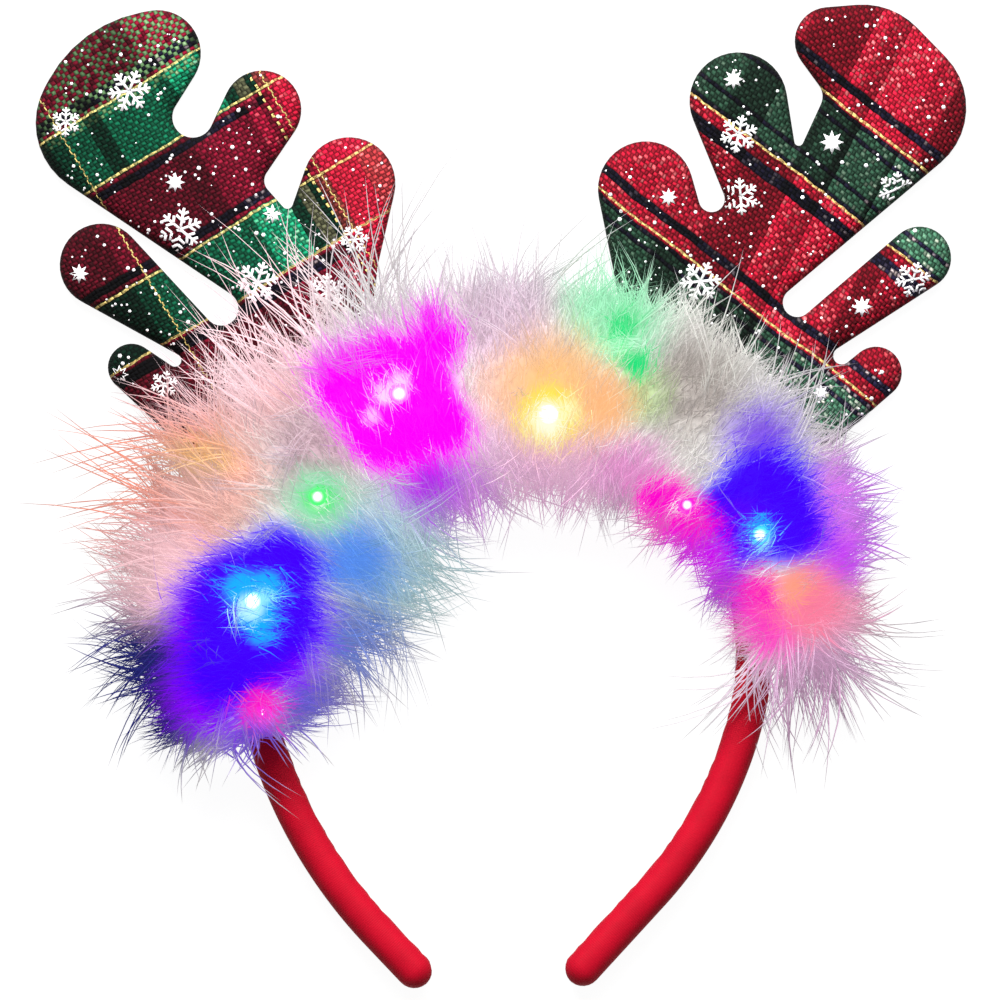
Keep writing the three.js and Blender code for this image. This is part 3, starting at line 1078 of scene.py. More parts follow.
@dataclass(frozen=True)
class Print:
    """One printed snowflake: its shape, place, radius and turn."""

    motif: Motif
    x: float
    y: float
    radius: float
    turn: float = 0.0
    star_points: int = 8
    star_waist: float = 0.5
    arms: int = 6
    bar_share: float = 0.06
    twig_turn: float = math.pi / 3.2

    def shapes(self) -> list[Array]:
        """Gives the flat outlines that make up the snowflake."""
        drawn = self._star() if self.motif is Motif.STAR else self._flake()
        return [np.array([self.x, self.y]) + shape for shape in drawn]

    def _star(self) -> list[Array]:
        """Draws a solid star.

        Returns:
            Its outline about its own middle.
        """
        corner = np.arange(2 * self.star_points)
        turn = self.turn + corner * math.pi / self.star_points
        radius = np.where(corner % 2 == 0, self.radius, self.radius * self.star_waist)
        return [np.column_stack([radius * np.cos(turn), radius * np.sin(turn)])]

    def _flake(self) -> list[Array]:
        """Draws a snowflake of straight arms with twigs.

        Returns:
            The outlines of its bars about its own middle.
        """
        bars: list[Array] = []
        for arm in range(self.arms):
            turn = self.turn + arm * FULL_TURN / self.arms
            axis = np.array([math.cos(turn), math.sin(turn)])
            for twig in TWIGS:
                way = turn + twig.side * self.twig_turn
                along = np.array([math.cos(way), math.sin(way)])
                across = np.array([-along[1], along[0]]) * self.radius * self.bar_share
                foot = axis * twig.start * self.radius
                end = foot + along * twig.length * self.radius
                bars.append(np.array([foot - across, end - across, end + across, foot + across]))
        return bars


@dataclass
class Antler:
    """A padded tartan antler: two cloths sewn together at the edge over thin padding, with a print on top."""

    name: str
    node: str
    discs: tuple[Disc, ...]
    finish: TartanFinish
    prints: tuple[Print, ...]
    seed: int
    thickness: float = 6.4
    edge_height: float = 2.5
    rounding: float = 4.6
    crown: float = 0.7
    crown_reach: float = 7.0
    back_rounding: float = 2.0
    back_lift: float = 0.1
    arc_step: float = math.radians(9)
    line_step: float = 2.4
    insets: tuple[float, ...] = (0.12, 0.42, 0.9, 1.55)
    grid: float = 2.3
    pucker: float = 0.22
    puckers: tuple[Ripple, ...] = (Ripple(0.11, 1.4), Ripple(0.35, 0.6, 7))
    ink_height: float = 0.14
    dots: int = 330
    dot_tries: int = 4
    dot_inset: float = 0.8
    dot_radius: Range = (0.22, 0.5)
    dot_scales: tuple[float, ...] = (0.7, 1.0, 1.25)
    dot_corners: int = 6

    def outline(self, inset: float = 0.0) -> Array:
        """Walks round the discs as a belt does, with arcs on them and straight runs between them.

        Args:
            inset: How far inside the outline to stay.

        Returns:
            The belt's points, counterclockwise.
        """
        count = len(self.discs)
        belts = [self.discs[i].belt(self.discs[(i + 1) % count]) for i in range(count)]
        stretches: list[Array] = []
        for i, disc in enumerate(self.discs):
            start, _ = belts[i - 1]
            end, run = belts[i]
            sweep = (end - start) % FULL_TURN
            if disc.radius < 0:
                sweep -= FULL_TURN
            if abs(sweep) > FULL_TURN - SAME_TURN:
                sweep = 0.0
            steps = max(1, round(abs(sweep) / self.arc_step))
            arc = np.array([disc.at(start + sweep * k / steps, inset) for k in range(steps + 1)])
            after = np.array(self.discs[(i + 1) % count].at(end, inset))
            runs = max(1, round(run / self.line_step))
            share = np.arange(1, runs)[:, None] / runs
            stretches += [arc, arc[-1] * (1 - share) + after * share]
        return np.concatenate(stretches)

    def inside(self, points: Array) -> Array:
        """Tells which points lie inside the outline.

        Args:
            points: The points, whose first two columns count.

        Returns:
            True for each point inside.
        """
        start = self.outline()
        end = np.roll(start, -1, axis=0)
        x, y = points[:, :1], points[:, 1:2]
        spans = (start[:, 1] > y) != (end[:, 1] > y)
        rise = np.where(end[:, 1] == start[:, 1], NO_RISE, end[:, 1] - start[:, 1])
        crossing = start[:, 0] + (y - start[:, 1]) * (end[:, 0] - start[:, 0]) / rise
        return (np.sum(spans & (x < crossing), axis=1) % 2).astype(bool)

    def depth(self, points: Array) -> Array:
        """Measures how far points lie from the outline.

        Args:
            points: The points, whose first two columns count.

        Returns:
            The distances.
        """
        start = self.outline()
        line = np.roll(start, -1, axis=0) - start
        squares = np.maximum(np.sum(line ** 2, axis=1), NO_LENGTH)
        nearest = np.full(len(points), np.inf)
        for corner, run, square in zip(start, line, squares):
            share = np.clip(((points[:, :2] - corner) @ run) / square, 0, 1)
            gap = points[:, :2] - corner - share[:, None] * run
            nearest = np.minimum(nearest, np.sum(gap ** 2, axis=1))
        return np.sqrt(nearest)

    def build(self, workshop: Workshop) -> list[Piece]:
        """Sews the antler and prints on it.

        Args:
            workshop: Makes the meshes.

        Returns:
            The pad and its print.
        """
        rings = [self.outline(inset) for inset in (0.0, *self.insets)]
        edge, ring = len(rings[0]), len(self.insets)
        fill = self._fill(rings[-1])
        flat = np.concatenate([*rings, fill])
        deep = np.concatenate([*(np.full(edge, inset) for inset in (0.0, *self.insets)), self.depth(fill)])
        top = np.column_stack([flat, self._top(flat, deep)])
        back = np.column_stack([flat, self._back(deep)])[edge:]
        patch = self._patch(rings[-1], fill) + ring * edge
        sides = ring_faces(ring + 1, edge)
        shift = len(top) - edge
        back_sides = np.where(sides < edge, sides, sides + shift)
        points = np.concatenate([top, back])
        quads = np.concatenate([sides, back_sides[:, ::-1]])
        triangles = np.concatenate([patch, patch[:, ::-1] + shift])
        piece = workshop.mesh(self.name, points, [quads, triangles])
        hold(piece, "edge", np.concatenate([deep, deep[edge:]]))
        workshop.give(piece, self.finish.material(workshop), "tartan_cloth", [self.node])
        cloth = BVHTree.FromPolygons(points.tolist(), patch.tolist() + sides.tolist())
        return [piece, self._print(workshop, cloth)]

    def _fill(self, border: Array) -> Array:
        """Sets staggered points inside the innermost ring.

        Args:
            border: The ring's points.

        Returns:
            The points inside it.
        """
        low, high = border.min(axis=0), border.max(axis=0)
        rows = np.arange(low[1], high[1], self.grid * math.sqrt(3) / 2)
        columns = np.arange(low[0], high[0], self.grid)
        grid = np.array([(x + self.grid / 2 * (i % 2), y) for i, y in enumerate(rows) for x in columns])
        held = self.inside(grid) & (self.depth(grid) > self.insets[-1] + self.grid / 2)
        return grid[held]

    @staticmethod
    def _patch(border: Array, fill: Array) -> Array:
        """Joins the innermost ring and the points inside it by triangles.

        Args:
            border: The ring's points.
            fill: The points inside it.

        Returns:
            The triangles' corners, counted from the ring's first point.
        """
        points = [Vector(p) for p in np.concatenate([border, fill])]
        count = len(border)
        edges = [(i, (i + 1) % count) for i in range(count)]
        _, _, faces, origin, _, _ = delaunay_2d_cdt(points, edges, [], 1, SAME_POINT)
        return np.array([[origin[corner][0] for corner in face] for face in faces])

    def _top(self, flat: Array, deep: Array) -> Array:
        """Shapes the front cloth, which swells from the edge and is a little uneven.

        Args:
            flat: The cloth's points.
            deep: How far inside the outline each lies.

        Returns:
            The points' heights.
        """
        share = np.clip(deep / self.rounding, 0, 1)
        swell = np.sqrt(1 - (1 - share) ** 2)
        uneven = sum(ripple.over(flat, self.seed) for ripple in self.puckers)
        puffed = self.crown * (1 - np.exp(-deep / self.crown_reach)) + self.pucker * uneven * swell
        return self.edge_height + (self.thickness - self.edge_height) * swell + puffed

    def _back(self, deep: Array) -> Array:
        """Gives the heights of the back cloth, which lies flat on the floor."""
        share = np.clip(deep / self.back_rounding, 0, 1)
        return self.edge_height - (self.edge_height - self.back_lift) * np.sqrt(1 - (1 - share) ** 2)

    def _print(self, workshop: Workshop, cloth: BVHTree) -> Piece:
        """Lays the snowflakes and dots on the front cloth.

        Args:
            workshop: Makes the mesh.
            cloth: The front cloth.

        Returns:
            The print.
        """
        points: list[Array] = []
        faces: list[Array] = []
        total = 0
        for shape in [shape for printed in self.prints for shape in printed.shapes()] + self._dots():
            if not np.all(self.inside(shape)):
                continue
            bottom, top = self._on_cloth(cloth, shape)
            quads, caps = loft_faces(2, len(shape))
            points += [bottom, top, bottom.mean(axis=0)[None], top.mean(axis=0)[None]]
            faces += [caps + total, quads[:, [0, 1, 2]] + total, quads[:, [0, 2, 3]] + total]
            total += 2 * len(shape) + 2
        piece = workshop.mesh(self.name + "_print", np.concatenate(points), [np.concatenate(faces)])
        return workshop.give(piece, PrintFinish().material(), "tartan_cloth")

    def _on_cloth(self, cloth: BVHTree, shape: Array) -> tuple[Array, Array]:
        """Lays a shape on the cloth.

        Args:
            cloth: The front cloth.
            shape: The shape's flat corners.

        Returns:
            The corners just under the cloth and just over it.
        """
        heights = []
        for x, y in shape:
            hit, *_ = cloth.ray_cast(Vector((x, y, ABOVE_ANTLERS)), Vector((0, 0, -1)))
            heights.append(hit.z if hit else self.edge_height)
        height = np.array(heights)[:, None]
        return np.hstack([shape, height - self.ink_height]), np.hstack([shape, height + self.ink_height])

    def _dots(self) -> list[Array]:
        """Scatters small round dots over the cloth.

        Returns:
            The dots' flat outlines.
        """
        draw = np.random.default_rng(self.seed)
        border = self.outline()
        low, high = border.min(axis=0), border.max(axis=0)
        spots = low + draw.random((self.dots * self.dot_tries, 2)) * (high - low)
        spots = spots[self.inside(spots) & (self.depth(spots) > self.dot_inset)][:self.dots]
        sizes = draw.uniform(*self.dot_radius, len(spots)) * draw.choice(self.dot_scales, len(spots))
        turn = np.arange(self.dot_corners) * FULL_TURN / self.dot_corners
        circle = np.column_stack([np.cos(turn), np.sin(turn)])
        return [spot + size * circle for spot, size in zip(spots, sizes)]


@dataclass(frozen=True)
class Bulb:
    """One bulb: its solid, slot, light, white middle, power, opening in the down and strands across it."""

    node: str
    slot: str
    light: Colour
    hot: float
    power: float
    opening: float
    cover: int


@dataclass
class BulbString:
    """The small domed bulbs, each on a collar, and the light that they throw."""

    bulbs: tuple[Bulb, ...]
    lens_radius: float = 2.4
    lens_height: float = 6.4
    lens_step: float = 0.05
    collar_radius: float = 2.9
    collar_height: float = 1.4
    bevel: float = 0.2
    sides: int = 28
    dome_rings: int = 12
    light_lift: float = 7.0
    light_radius: float = 6.0

    def build(self, workshop: Workshop) -> list[Piece]:
        """Makes each bulb and its light.

        Args:
            workshop: Makes the meshes.

        Returns:
            The bulbs.
        """
        finishes: dict[str, Material] = {}
        pieces = []
        for bulb, top in zip(self.bulbs, self.tops(workshop)):
            if bulb.slot not in finishes:
                finishes[bulb.slot] = BulbFinish(bulb.slot, bulb.light).material()
            piece = self._lathe(workshop, bulb, top)
            pieces.append(workshop.give(piece, finishes[bulb.slot], bulb.slot, [bulb.node]))
            self._light(bulb, workshop.row(top + UP * self.light_lift))
        return pieces

    def tops(self, workshop: Workshop) -> Array:
        """Gives the tops of the bulbs' domes on the drawing, one a row."""
        boxes = [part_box(bulb.node) for bulb in self.bulbs]
        return workshop.drawing([((low.x + high.x) / 2, (low.y + high.y) / 2, high.z) for low, high in boxes])

    def _lathe(self, workshop: Workshop, bulb: Bulb, top: Array) -> Piece:
        """Turns a bulb's collar and dome.

        Args:
            workshop: Makes the mesh.
            bulb: The bulb.
            top: The top of its dome.

        Returns:
            The bulb's piece.
        """
        foot = top - UP * self.lens_height
        collar, lens, bevel = self.collar_radius, self.lens_radius, self.bevel
        dome = self.lens_height - lens
        turn = np.linspace(0, math.pi / 2, self.dome_rings + 1)[:-1]
        profile = [
            (collar - bevel, 0.0),
            (collar, bevel),
            (collar, self.collar_height - bevel),
            (collar - bevel, self.collar_height),
            (lens, self.collar_height + self.lens_step),
            *((lens * math.cos(t), dome + lens * math.sin(t)) for t in turn),
        ]
        around = np.arange(self.sides) * FULL_TURN / self.sides
        circle = np.column_stack([np.cos(around), np.sin(around), np.zeros(self.sides)])
        rings = [foot + circle * radius + UP * height for radius, height in profile]
        points = np.concatenate([*rings, foot[None], (foot + UP * self.lens_height)[None]])
        name = bulb.node.replace("led", "bulb")
        piece = workshop.mesh(name, points, loft_faces(len(profile), self.sides))
        away = np.hypot(*(points - foot)[:, :2].T)
        hold(piece, "whiteness", smoothstep((bulb.hot - away) / bulb.hot))
        return piece

    def _light(self, bulb: Bulb, place: Array) -> None:
        """Hangs a small coloured light over a bulb.

        Args:
            bulb: The bulb.
            place: Where the light hangs in the row frame.
        """
        lamp = bpy.data.lights.new(bulb.node + "_light", "POINT")
        lamp.color = bulb.light
        lamp.energy = bulb.power
        lamp.shadow_soft_size = self.light_radius * MM
        stand(bulb.node + "_light", lamp, place)


@dataclass(frozen=True)
class BoaSection:
    """One section of the boa: its place along the hoop, and its shift out, half width, top and reach."""

    along: float
    shift: float
    half: float
    top: float
    reach: float


@dataclass(frozen=True)
class Whiskers:
    """A run of long strands in small clumps: where they grow, which way they lean, how long they are."""

    along: Range
    turn: Range
    lean: float
    length: Range
    clumps: int


@dataclass(frozen=True)
class Tuft:
    """A tuft that hangs off one end of the boa: its place along the hoop, its direction and its length."""

    along: float
    out: float
    on: float
    length: float


@dataclass(frozen=True)
class Dab:
    """A patch of painted light and shade on the boa: its middle on the drawing, radius, soft edge, colour and
    share of painted glow.
    """

    x: float
    y: float
    radius: float
    soft: float
    colour: ScreenColour
    glow: float = 0.0


@dataclass(frozen=True)
class Palette:
    """The boa's colours as seen from above: a ground colour with dabs of painted light and shade on it, the
    last one on top.
    """

    ground: ScreenColour
    dabs: tuple[Dab, ...]

    def at(self, points: Array, stray: Any = 0.0) -> Array:
        """Finds the colours at drawing points.

        Args:
            points: The points, with x, y and z on the last axis.
            stray: How far outside each dab the points count as lying.

        Returns:
            Linear red, green and blue, and the share of painted glow, for each point.
        """
        looks = np.empty((*points.shape[:-1], 4))
        looks[:] = (*paint(*self.ground), 0.0)
        for dab in self.dabs:
            away = np.hypot(points[..., 0] - dab.x, points[..., 1] - dab.y) + stray
            share = smoothstep(0.5 + (dab.radius - away) / (2 * dab.soft))[..., None]
            looks = looks * (1 - share) + share * np.array([*paint(*dab.colour), dab.glow])
        return looks


@dataclass(frozen=True)
class StrandKind:
    """One kind of strand: its points and radius, and how its painted colours follow it, stray and turn to the
    painted tip shade at its tip.

    Strands that go across may lie in the openings over the bulbs.
    """

    points: int
    radius: Range
    follow: float
    stray: float
    tip_share: float
    across: bool = False


@dataclass(frozen=True)
class Strands:
    """Strands of one kind: their points, and each one's radius at its root."""

    kind: StrandKind
    paths: Array
    radius: Array


@dataclass(frozen=True)
class DownSizes:
    """The short down: how much there is, where it grows, how it is combed and how it curls."""

    count: int = 28000
    turn: Range = (-25, 205)
    root: Range = (0.84, 0.99)
    length: Range = (4, 11)
    parting: float = 0.25
    rise: float = 0.35
    comb: float = 0.8
    loose: float = 0.3
    curl: float = 0.2
    droop: float = 0.12
    kind: StrandKind = StrandKind(3, (0.12, 0.19), follow=0.75, stray=1.6, tip_share=0.0)


@dataclass(frozen=True)
class LockSizes:
    """The loose locks on the flanks: where they grow, how they lean and curl, and how their strands part."""

    count: int = 560
    strands: int = 13
    outer: Range = (-14, 50)
    inner: Range = (132, 194)
    top: Range = (50, 132)
    outer_share: float = 0.52
    flanks_share: float = 0.94
    end_gap: float = 1.0
    root: float = 0.74
    buried: float = 0.26
    sway: float = 0.9
    sway_waves: float = 0.06
    loose: float = 0.25
    level: Triple = (1.0, 1.0, 0.55)
    reach: Range = (0.65, 1.3)
    top_loss: float = 0.45
    curl: float = 0.36
    droop: float = 0.2
    root_spread: float = 2.4
    tip_spreads: tuple[float, ...] = (0.7, 1.7, 3.0)
    tip_power: float = 1.5
    grown: Range = (0.55, 1.08)
    kind: StrandKind = StrandKind(5, (0.18, 0.3), follow=0.8, stray=1.6, tip_share=0.7)


@dataclass(frozen=True)
class TuftSizes:
    """The locks of a tuft: how many there are, how far out and how deep they start, and how they curl."""

    locks: int = 13
    beside: float = 0.5
    buried: float = 0.4
    loose: float = 0.2
    grown: Range = (0.6, 1.05)
    curl: float = 0.12
    droop: float = 0.15


@dataclass(frozen=True)
class LongSizes:
    """The long strands: how many make a clump, how a clump leans and curls, and how its strands part."""

    clump: int = 4
    root: float = 0.8
    loose: float = 0.3
    level: Triple = (1.0, 1.0, 0.6)
    curl: float = 0.45
    droop: float = 0.3
    root_spread: float = 1.2
    way_spread: float = 0.07
    bend_spread: float = 0.07
    grown: Range = (0.65, 1.05)
    kind: StrandKind = StrandKind(7, (0.24, 0.42), follow=0.85, stray=1.6, tip_share=0.6)


@dataclass(frozen=True)
class CoverSizes:
    """The strands across a bulb: where they start beside its top, how long they are and how they curl."""

    spread: float = 0.3
    back: Range = (3, 6)
    apart: Range = (-4, 4)
    lift: Range = (0.2, 2.0)
    length: Range = (6, 12)
    curl: float = 0.2
    kind: StrandKind = StrandKind(5, (0.12, 0.2), follow=0.4, stray=0.0, tip_share=0.0, across=True)


@dataclass
class FeatherBoa:
    """The boa: a soft lumpy core, fine down combed outwards over it, loose locks and long single strands."""

    hoop: Hoop
    sections: tuple[BoaSection, ...]
    tufts: tuple[Tuft, ...]
    whiskers: tuple[Whiskers, ...]
    antlers: tuple[Antler, ...]
    # Painted LED light, glow and shade on the white down.
    colours: Palette
    # Painted shade and painted LED tints at the strands' tips.
    tips: Palette
    string: BulbString
    down: DownSizes = DownSizes()
    locks: LockSizes = LockSizes()
    tuft: TuftSizes = TuftSizes()
    long: LongSizes = LongSizes()
    cover: CoverSizes = CoverSizes()
    floor: float = 0.7
    middle_share: float = 0.4
    core_share: float = 0.88
    core_sides: int = 96
    core_step: float = 1.3
    lump: float = 2.6
    lumps: tuple[Ripple, ...] = (Ripple(0.085, 1.0), Ripple(0.19, 0.5))
    level_bend: Triple = (1.0, 1.0, 0.35)
    antler_room: float = 2.0
    antler_gap: float = 1.2
    uneven: Range = (-0.12, 0.1)
    uneven_loss: float = 0.8
    check_points: int = 13
    strand_sides: int = 3
    strand_floor: float = 0.2
    taper: float = 0.75
    taper_power: float = 1.3
    upright: float = 0.9
    seed: int = 23
    draw: Draws = field(init=False)

    def __post_init__(self) -> None:
        """Starts the random draws."""
        self.draw = np.random.default_rng(self.seed)

    def sizes(self, along: Array) -> dict[str, Array]:
        """Eases between the sections.

        Args:
            along: Places along the hoop.

        Returns:
            The shift, half, top and reach at each place.
        """
        places = np.array([section.along for section in self.sections])
        index = np.clip(np.searchsorted(places, along) - 1, 0, len(places) - 2)
        share = smoothstep((along - places[index]) / (places[index + 1] - places[index]))
        eased = {}
        for name in ("shift", "half", "top", "reach"):
            column = np.array([getattr(section, name) for section in self.sections])
            eased[name] = column[index] * (1 - share) + column[index + 1] * share
        return eased

    def skin(self, along: Array, turn: Array, share: Any) -> tuple[Array, Array]:
        """Finds points of the boa and the ways out of it.

        Args:
            along: Places along the hoop.
            turn: Turns round the boa, from straight out over the top to the inside.
            share: How far from the boa's middle to its surface.

        Returns:
            The points and the outward directions.
        """
        size = self.sizes(along)
        middle = size["top"] * self.middle_share
        rise = np.where(np.sin(turn) > 0, size["top"] - middle, middle - self.floor)
        out = size["shift"] + size["half"] * share * np.cos(turn)
        height = middle + rise * share * np.sin(turn)
        _, outward, _ = self.hoop.at(along)
        flat = outward * np.cos(turn)[..., None]
        normal = np.concatenate([flat, np.sin(turn)[..., None]], axis=-1)
        return self.hoop.beside(along, out, height), normal

    def build(self, workshop: Workshop) -> list[Piece]:
        """Builds the boa.

        Args:
            workshop: Makes the meshes.

        Returns:
            Its pieces.
        """
        feather = FeatherFinish().material()
        pieces = [workshop.give(self._core(workshop), feather, "white_feather", ["feather_boa"])]
        bulb_tops = self.string.tops(workshop)
        batches = {
            "boa_down": self._down(),
            "boa_locks": self._locks(),
            "boa_whiskers": self._long_strands(),
            "boa_cover": self._cover(bulb_tops),
        }
        for name, strands in batches.items():
            looks = self._looks(strands)
            free = strands.kind.across | self._beside_bulbs(bulb_tops, strands.paths)
            right = strands.paths[:, 0, 0] > 0
            for side, chosen in (("right", free & right), ("left", free & ~right)):
                picked = Strands(strands.kind, strands.paths[chosen], strands.radius[chosen])
                piece = self._mesh(workshop, f"{name}_{side}", picked, looks[chosen])
                pieces.append(workshop.give(piece, feather, "white_feather"))
        return pieces

    def _core(self, workshop: Workshop) -> Piece:
        """Lofts the lumpy core.

        Args:
            workshop: Makes the mesh.

        Returns:
            The core.
        """
        first, last = self.sections[0].along, self.sections[-1].along
        rings, sides = int((last - first) / self.core_step), self.core_sides
        along = np.repeat(np.linspace(first, last, rings)[:, None], sides, axis=1)
        turn = np.repeat(np.arange(sides)[None] * FULL_TURN / sides, rings, axis=0)
        skin, normal = self.skin(along, turn, self.core_share)
        skin = skin.reshape(-1, 3)
        lumps = sum(ripple.through(skin) for ripple in self.lumps)
        skin = skin + normal.reshape(-1, 3) * (lumps * self.lump)[:, None]
        skin[:, 2] = np.maximum(skin[:, 2], self.floor)
        ends = np.stack([skin[:sides].mean(axis=0), skin[-sides:].mean(axis=0)])
        points = np.concatenate([skin, ends])
        piece = workshop.mesh("boa_core", points, loft_faces(rings, sides))
        # The core takes the painted LED light, glow and shade.
        hold_colours(piece, "look", self.colours.at(points))
        return piece

    def _down(self) -> Strands:
        """Combs short down outwards over the core.

        Returns:
            The down.
        """
        down, count, draw = self.down, self.down.count, self.draw
        along = draw.uniform(self.sections[0].along, self.sections[-1].along, count)
        turn = np.radians(draw.uniform(*down.turn, count))
        start, normal = self.skin(along, turn, draw.uniform(*down.root, count))
        side = np.sign(np.cos(turn) + draw.normal(0, down.parting, count))
        comb = self._outward(along) * side[:, None]
        way = unit(normal * down.rise + comb * down.comb + draw.normal(0, down.loose, (count, 3)))
        bend = draw.normal(0, down.curl, (count, 3)) - UP * down.droop
        paths = self._paths(start, way, draw.uniform(*down.length, count), bend, down.kind.points)
        return self._strands(down.kind, self._over_things(paths))

    def _locks(self) -> Strands:
        """Draws loose locks of strands that stand out of the boa's flanks and hang off its ends.

        Returns:
            The locks' strands.
        """
        locks, each, draw = self.locks, self.locks.strands, self.draw
        lead = np.concatenate([self._flank_locks(), self._end_locks()])
        count = len(lead)
        total = count * each
        lead = np.repeat(lead, each, axis=0)
        share = np.linspace(0, 1, locks.kind.points)[None, :, None]
        root = draw.normal(0, locks.root_spread, (total, 1, 3))
        spread = np.repeat(draw.choice(locks.tip_spreads, count), each)[:, None, None]
        tip = draw.normal(0, 1.0, (total, 1, 3)) * spread
        grown = lead[:, :1] + (lead - lead[:, :1]) * draw.uniform(*locks.grown, (total, 1, 1))
        paths = grown + root * (1 - share) + tip * share ** locks.tip_power
        return self._strands(locks.kind, self._over_things(paths))

    def _flank_locks(self) -> Array:
        """Leads the locks out of the boa's flanks.

        Returns:
            The points of each lock's middle line.
        """
        locks, count, draw = self.locks, self.locks.count, self.draw
        first, last = self.sections[0].along + locks.end_gap, self.sections[-1].along - locks.end_gap
        along = first + (last - first) * (np.arange(count) + draw.random(count)) / count
        turn = np.radians(self._fan())
        start, normal = self.skin(along, turn, locks.root)
        size = self.sizes(along)
        sway = np.array([noise.noise((x * locks.sway_waves, self.seed, 0)) for x in along]) * locks.sway
        lean = (sway + draw.normal(0, locks.loose, count))[:, None] * self._onward(along)
        way = unit(normal * np.array(locks.level) + lean)
        shorter = 1 - locks.top_loss * np.clip(np.sin(turn), 0, 1)
        reach = size["reach"] * draw.uniform(*locks.reach, count) * shorter
        bend = self._aside(draw.normal(0, locks.curl, (count, 3)) * self.level_bend - UP * locks.droop, way)
        return self._paths(start, way, size["half"] * locks.buried + reach, bend, locks.kind.points)

    def _fan(self) -> Array:
        """Spreads the locks, most of them on the boa's two flanks and a few on its top.

        Returns:
            Their turns round the boa, in degrees.
        """
        locks, draw = self.locks, self.draw
        flanks = (locks.outer, locks.inner, locks.top)
        outer, inner, top = (draw.uniform(*turns, locks.count) for turns in flanks)
        pick = draw.random(locks.count)
        return np.where(pick < locks.outer_share, outer, np.where(pick < locks.flanks_share, inner, top))

    def _end_locks(self) -> Array:
        """Leads the locks of the tufts off the boa's ends.

        Returns:
            The points of each lock's middle line.
        """
        sizes, draw = self.tuft, self.draw
        columns = [(tuft.along, tuft.out, tuft.on, tuft.length) for tuft in self.tufts]
        along, out, on, length = np.repeat(np.array(columns), sizes.locks, axis=0).T
        count = len(along)
        size = self.sizes(along)
        beside = size["shift"] + out * size["half"] * sizes.beside
        start = self.hoop.beside(along, beside, size["top"] * self.middle_share)
        level = self._outward(along) * out[:, None] + self._onward(along) * on[:, None]
        way = unit(level + draw.normal(0, sizes.loose, (count, 3)))
        grown = (length + size["half"] * sizes.buried) * draw.uniform(*sizes.grown, count)
        bend = draw.normal(0, sizes.curl, (count, 3)) - UP * sizes.droop
        return self._paths(start, way, grown, bend, self.locks.kind.points)

    def _long_strands(self) -> Strands:
        """Draws the long strands, clump by clump.

        Returns:
            The strands.
        """
        sizes, draw = self.long, self.draw
        runs = []
        for run in self.whiskers:
            count = run.clumps * sizes.clump
            along = draw.uniform(*run.along, run.clumps)
            turn = np.radians(draw.uniform(*run.turn, run.clumps))
            start, normal = self.skin(along, turn, sizes.root)
            lean = (run.lean + draw.normal(0, sizes.loose, run.clumps))[:, None] * self._onward(along)
            way = unit(normal * np.array(sizes.level) + lean)
            curl = draw.normal(0, sizes.curl, (run.clumps, 3)) * self.level_bend - UP * sizes.droop
            bend = self._aside(curl, way)
            length = draw.uniform(*run.length, run.clumps)
            spreads = ((start, sizes.root_spread), (way, sizes.way_spread), (bend, sizes.bend_spread))
            start, way, bend = (
                np.repeat(each, sizes.clump, axis=0) + draw.normal(0, spread, (count, 3))
                for each, spread in spreads
            )
            length = np.repeat(length, sizes.clump) * draw.uniform(*sizes.grown, count)
            runs.append(self._paths(start, way, length, bend, sizes.kind.points))
        return self._strands(sizes.kind, self._over_things(np.concatenate(runs)))

    def _cover(self, bulb_tops: Array) -> Strands:
        """Combs strands across the bulbs, all one way over each bulb.

        Args:
            bulb_tops: The tops of the bulbs.

        Returns:
            The strands.
        """
        sizes, draw = self.cover, self.draw
        covers = [bulb.cover for bulb in self.string.bulbs]
        middle = np.repeat(bulb_tops, covers, axis=0)
        count = len(middle)
        combed = np.repeat(draw.uniform(0, FULL_TURN, len(covers)), covers)
        turn = combed + draw.normal(0, sizes.spread, count)
        way = np.column_stack([np.cos(turn), np.sin(turn), np.zeros(count)])
        aside = np.column_stack([-way[:, 1], way[:, 0], np.zeros(count)])
        moves = (sizes.back, sizes.apart, sizes.lift)
        back, apart, lift = (draw.uniform(*each, (count, 1)) for each in moves)
        start = middle - way * back + aside * apart + UP * lift
        bend = draw.normal(0, sizes.curl, (count, 3)) * self.level_bend
        paths = self._paths(start, way, draw.uniform(*sizes.length, count), bend, sizes.kind.points)
        return self._strands(sizes.kind, paths)

    def _beside_bulbs(self, bulb_tops: Array, paths: Array) -> Array:
        """Tells which strands leave the openings over the bulbs free.

        Args:
            bulb_tops: The tops of the bulbs.
            paths: The strands' points.

        Returns:
            True for each strand that lies beside all openings.
        """
        fine = np.linspace(0, paths.shape[1] - 1, self.check_points)
        before = np.minimum(fine.astype(int), paths.shape[1] - 2)
        share = (fine - before)[None, :, None]
        points = paths[:, before, :2] * (1 - share) + paths[:, before + 1, :2] * share
        free = np.ones(len(paths), bool)
        for bulb, top in zip(self.string.bulbs, bulb_tops):
            away = np.linalg.norm(points - top[:2], axis=-1)
            free &= away.min(axis=1) > bulb.opening
        return free

    def _onward(self, along: Array) -> Array:
        """Gives the level directions along the hoop."""
        _, _, on = self.hoop.at(along)
        return np.column_stack([on, np.zeros(len(along))])

    def _outward(self, along: Array) -> Array:
        """Gives the level directions out of the hoop."""
        _, out, _ = self.hoop.at(along)
        return np.column_stack([out, np.zeros(len(along))])

    @staticmethod
    def _aside(bend: Array, way: Array) -> Array:
        """Takes out of each bend what lies along its strand, so that it doesn't change the length."""
        return bend - way * np.sum(bend * way, axis=1, keepdims=True)

    @staticmethod
    def _paths(start: Array, way: Array, length: Array, bend: Array, points: int) -> Array:
        """Bends strands away from their first direction.

        Args:
            start: The strands' roots.
            way: Their first directions.
            length: Their lengths.
            bend: How far each tip moves aside, as a share of the length.
            points: Points on each strand.

        Returns:
            The points, strand by strand.
        """
        share = np.linspace(0, 1, points)[None, :, None]
        reach = length[:, None, None]
        return start[:, None] + way[:, None] * reach * share + bend[:, None] * reach * share ** 2

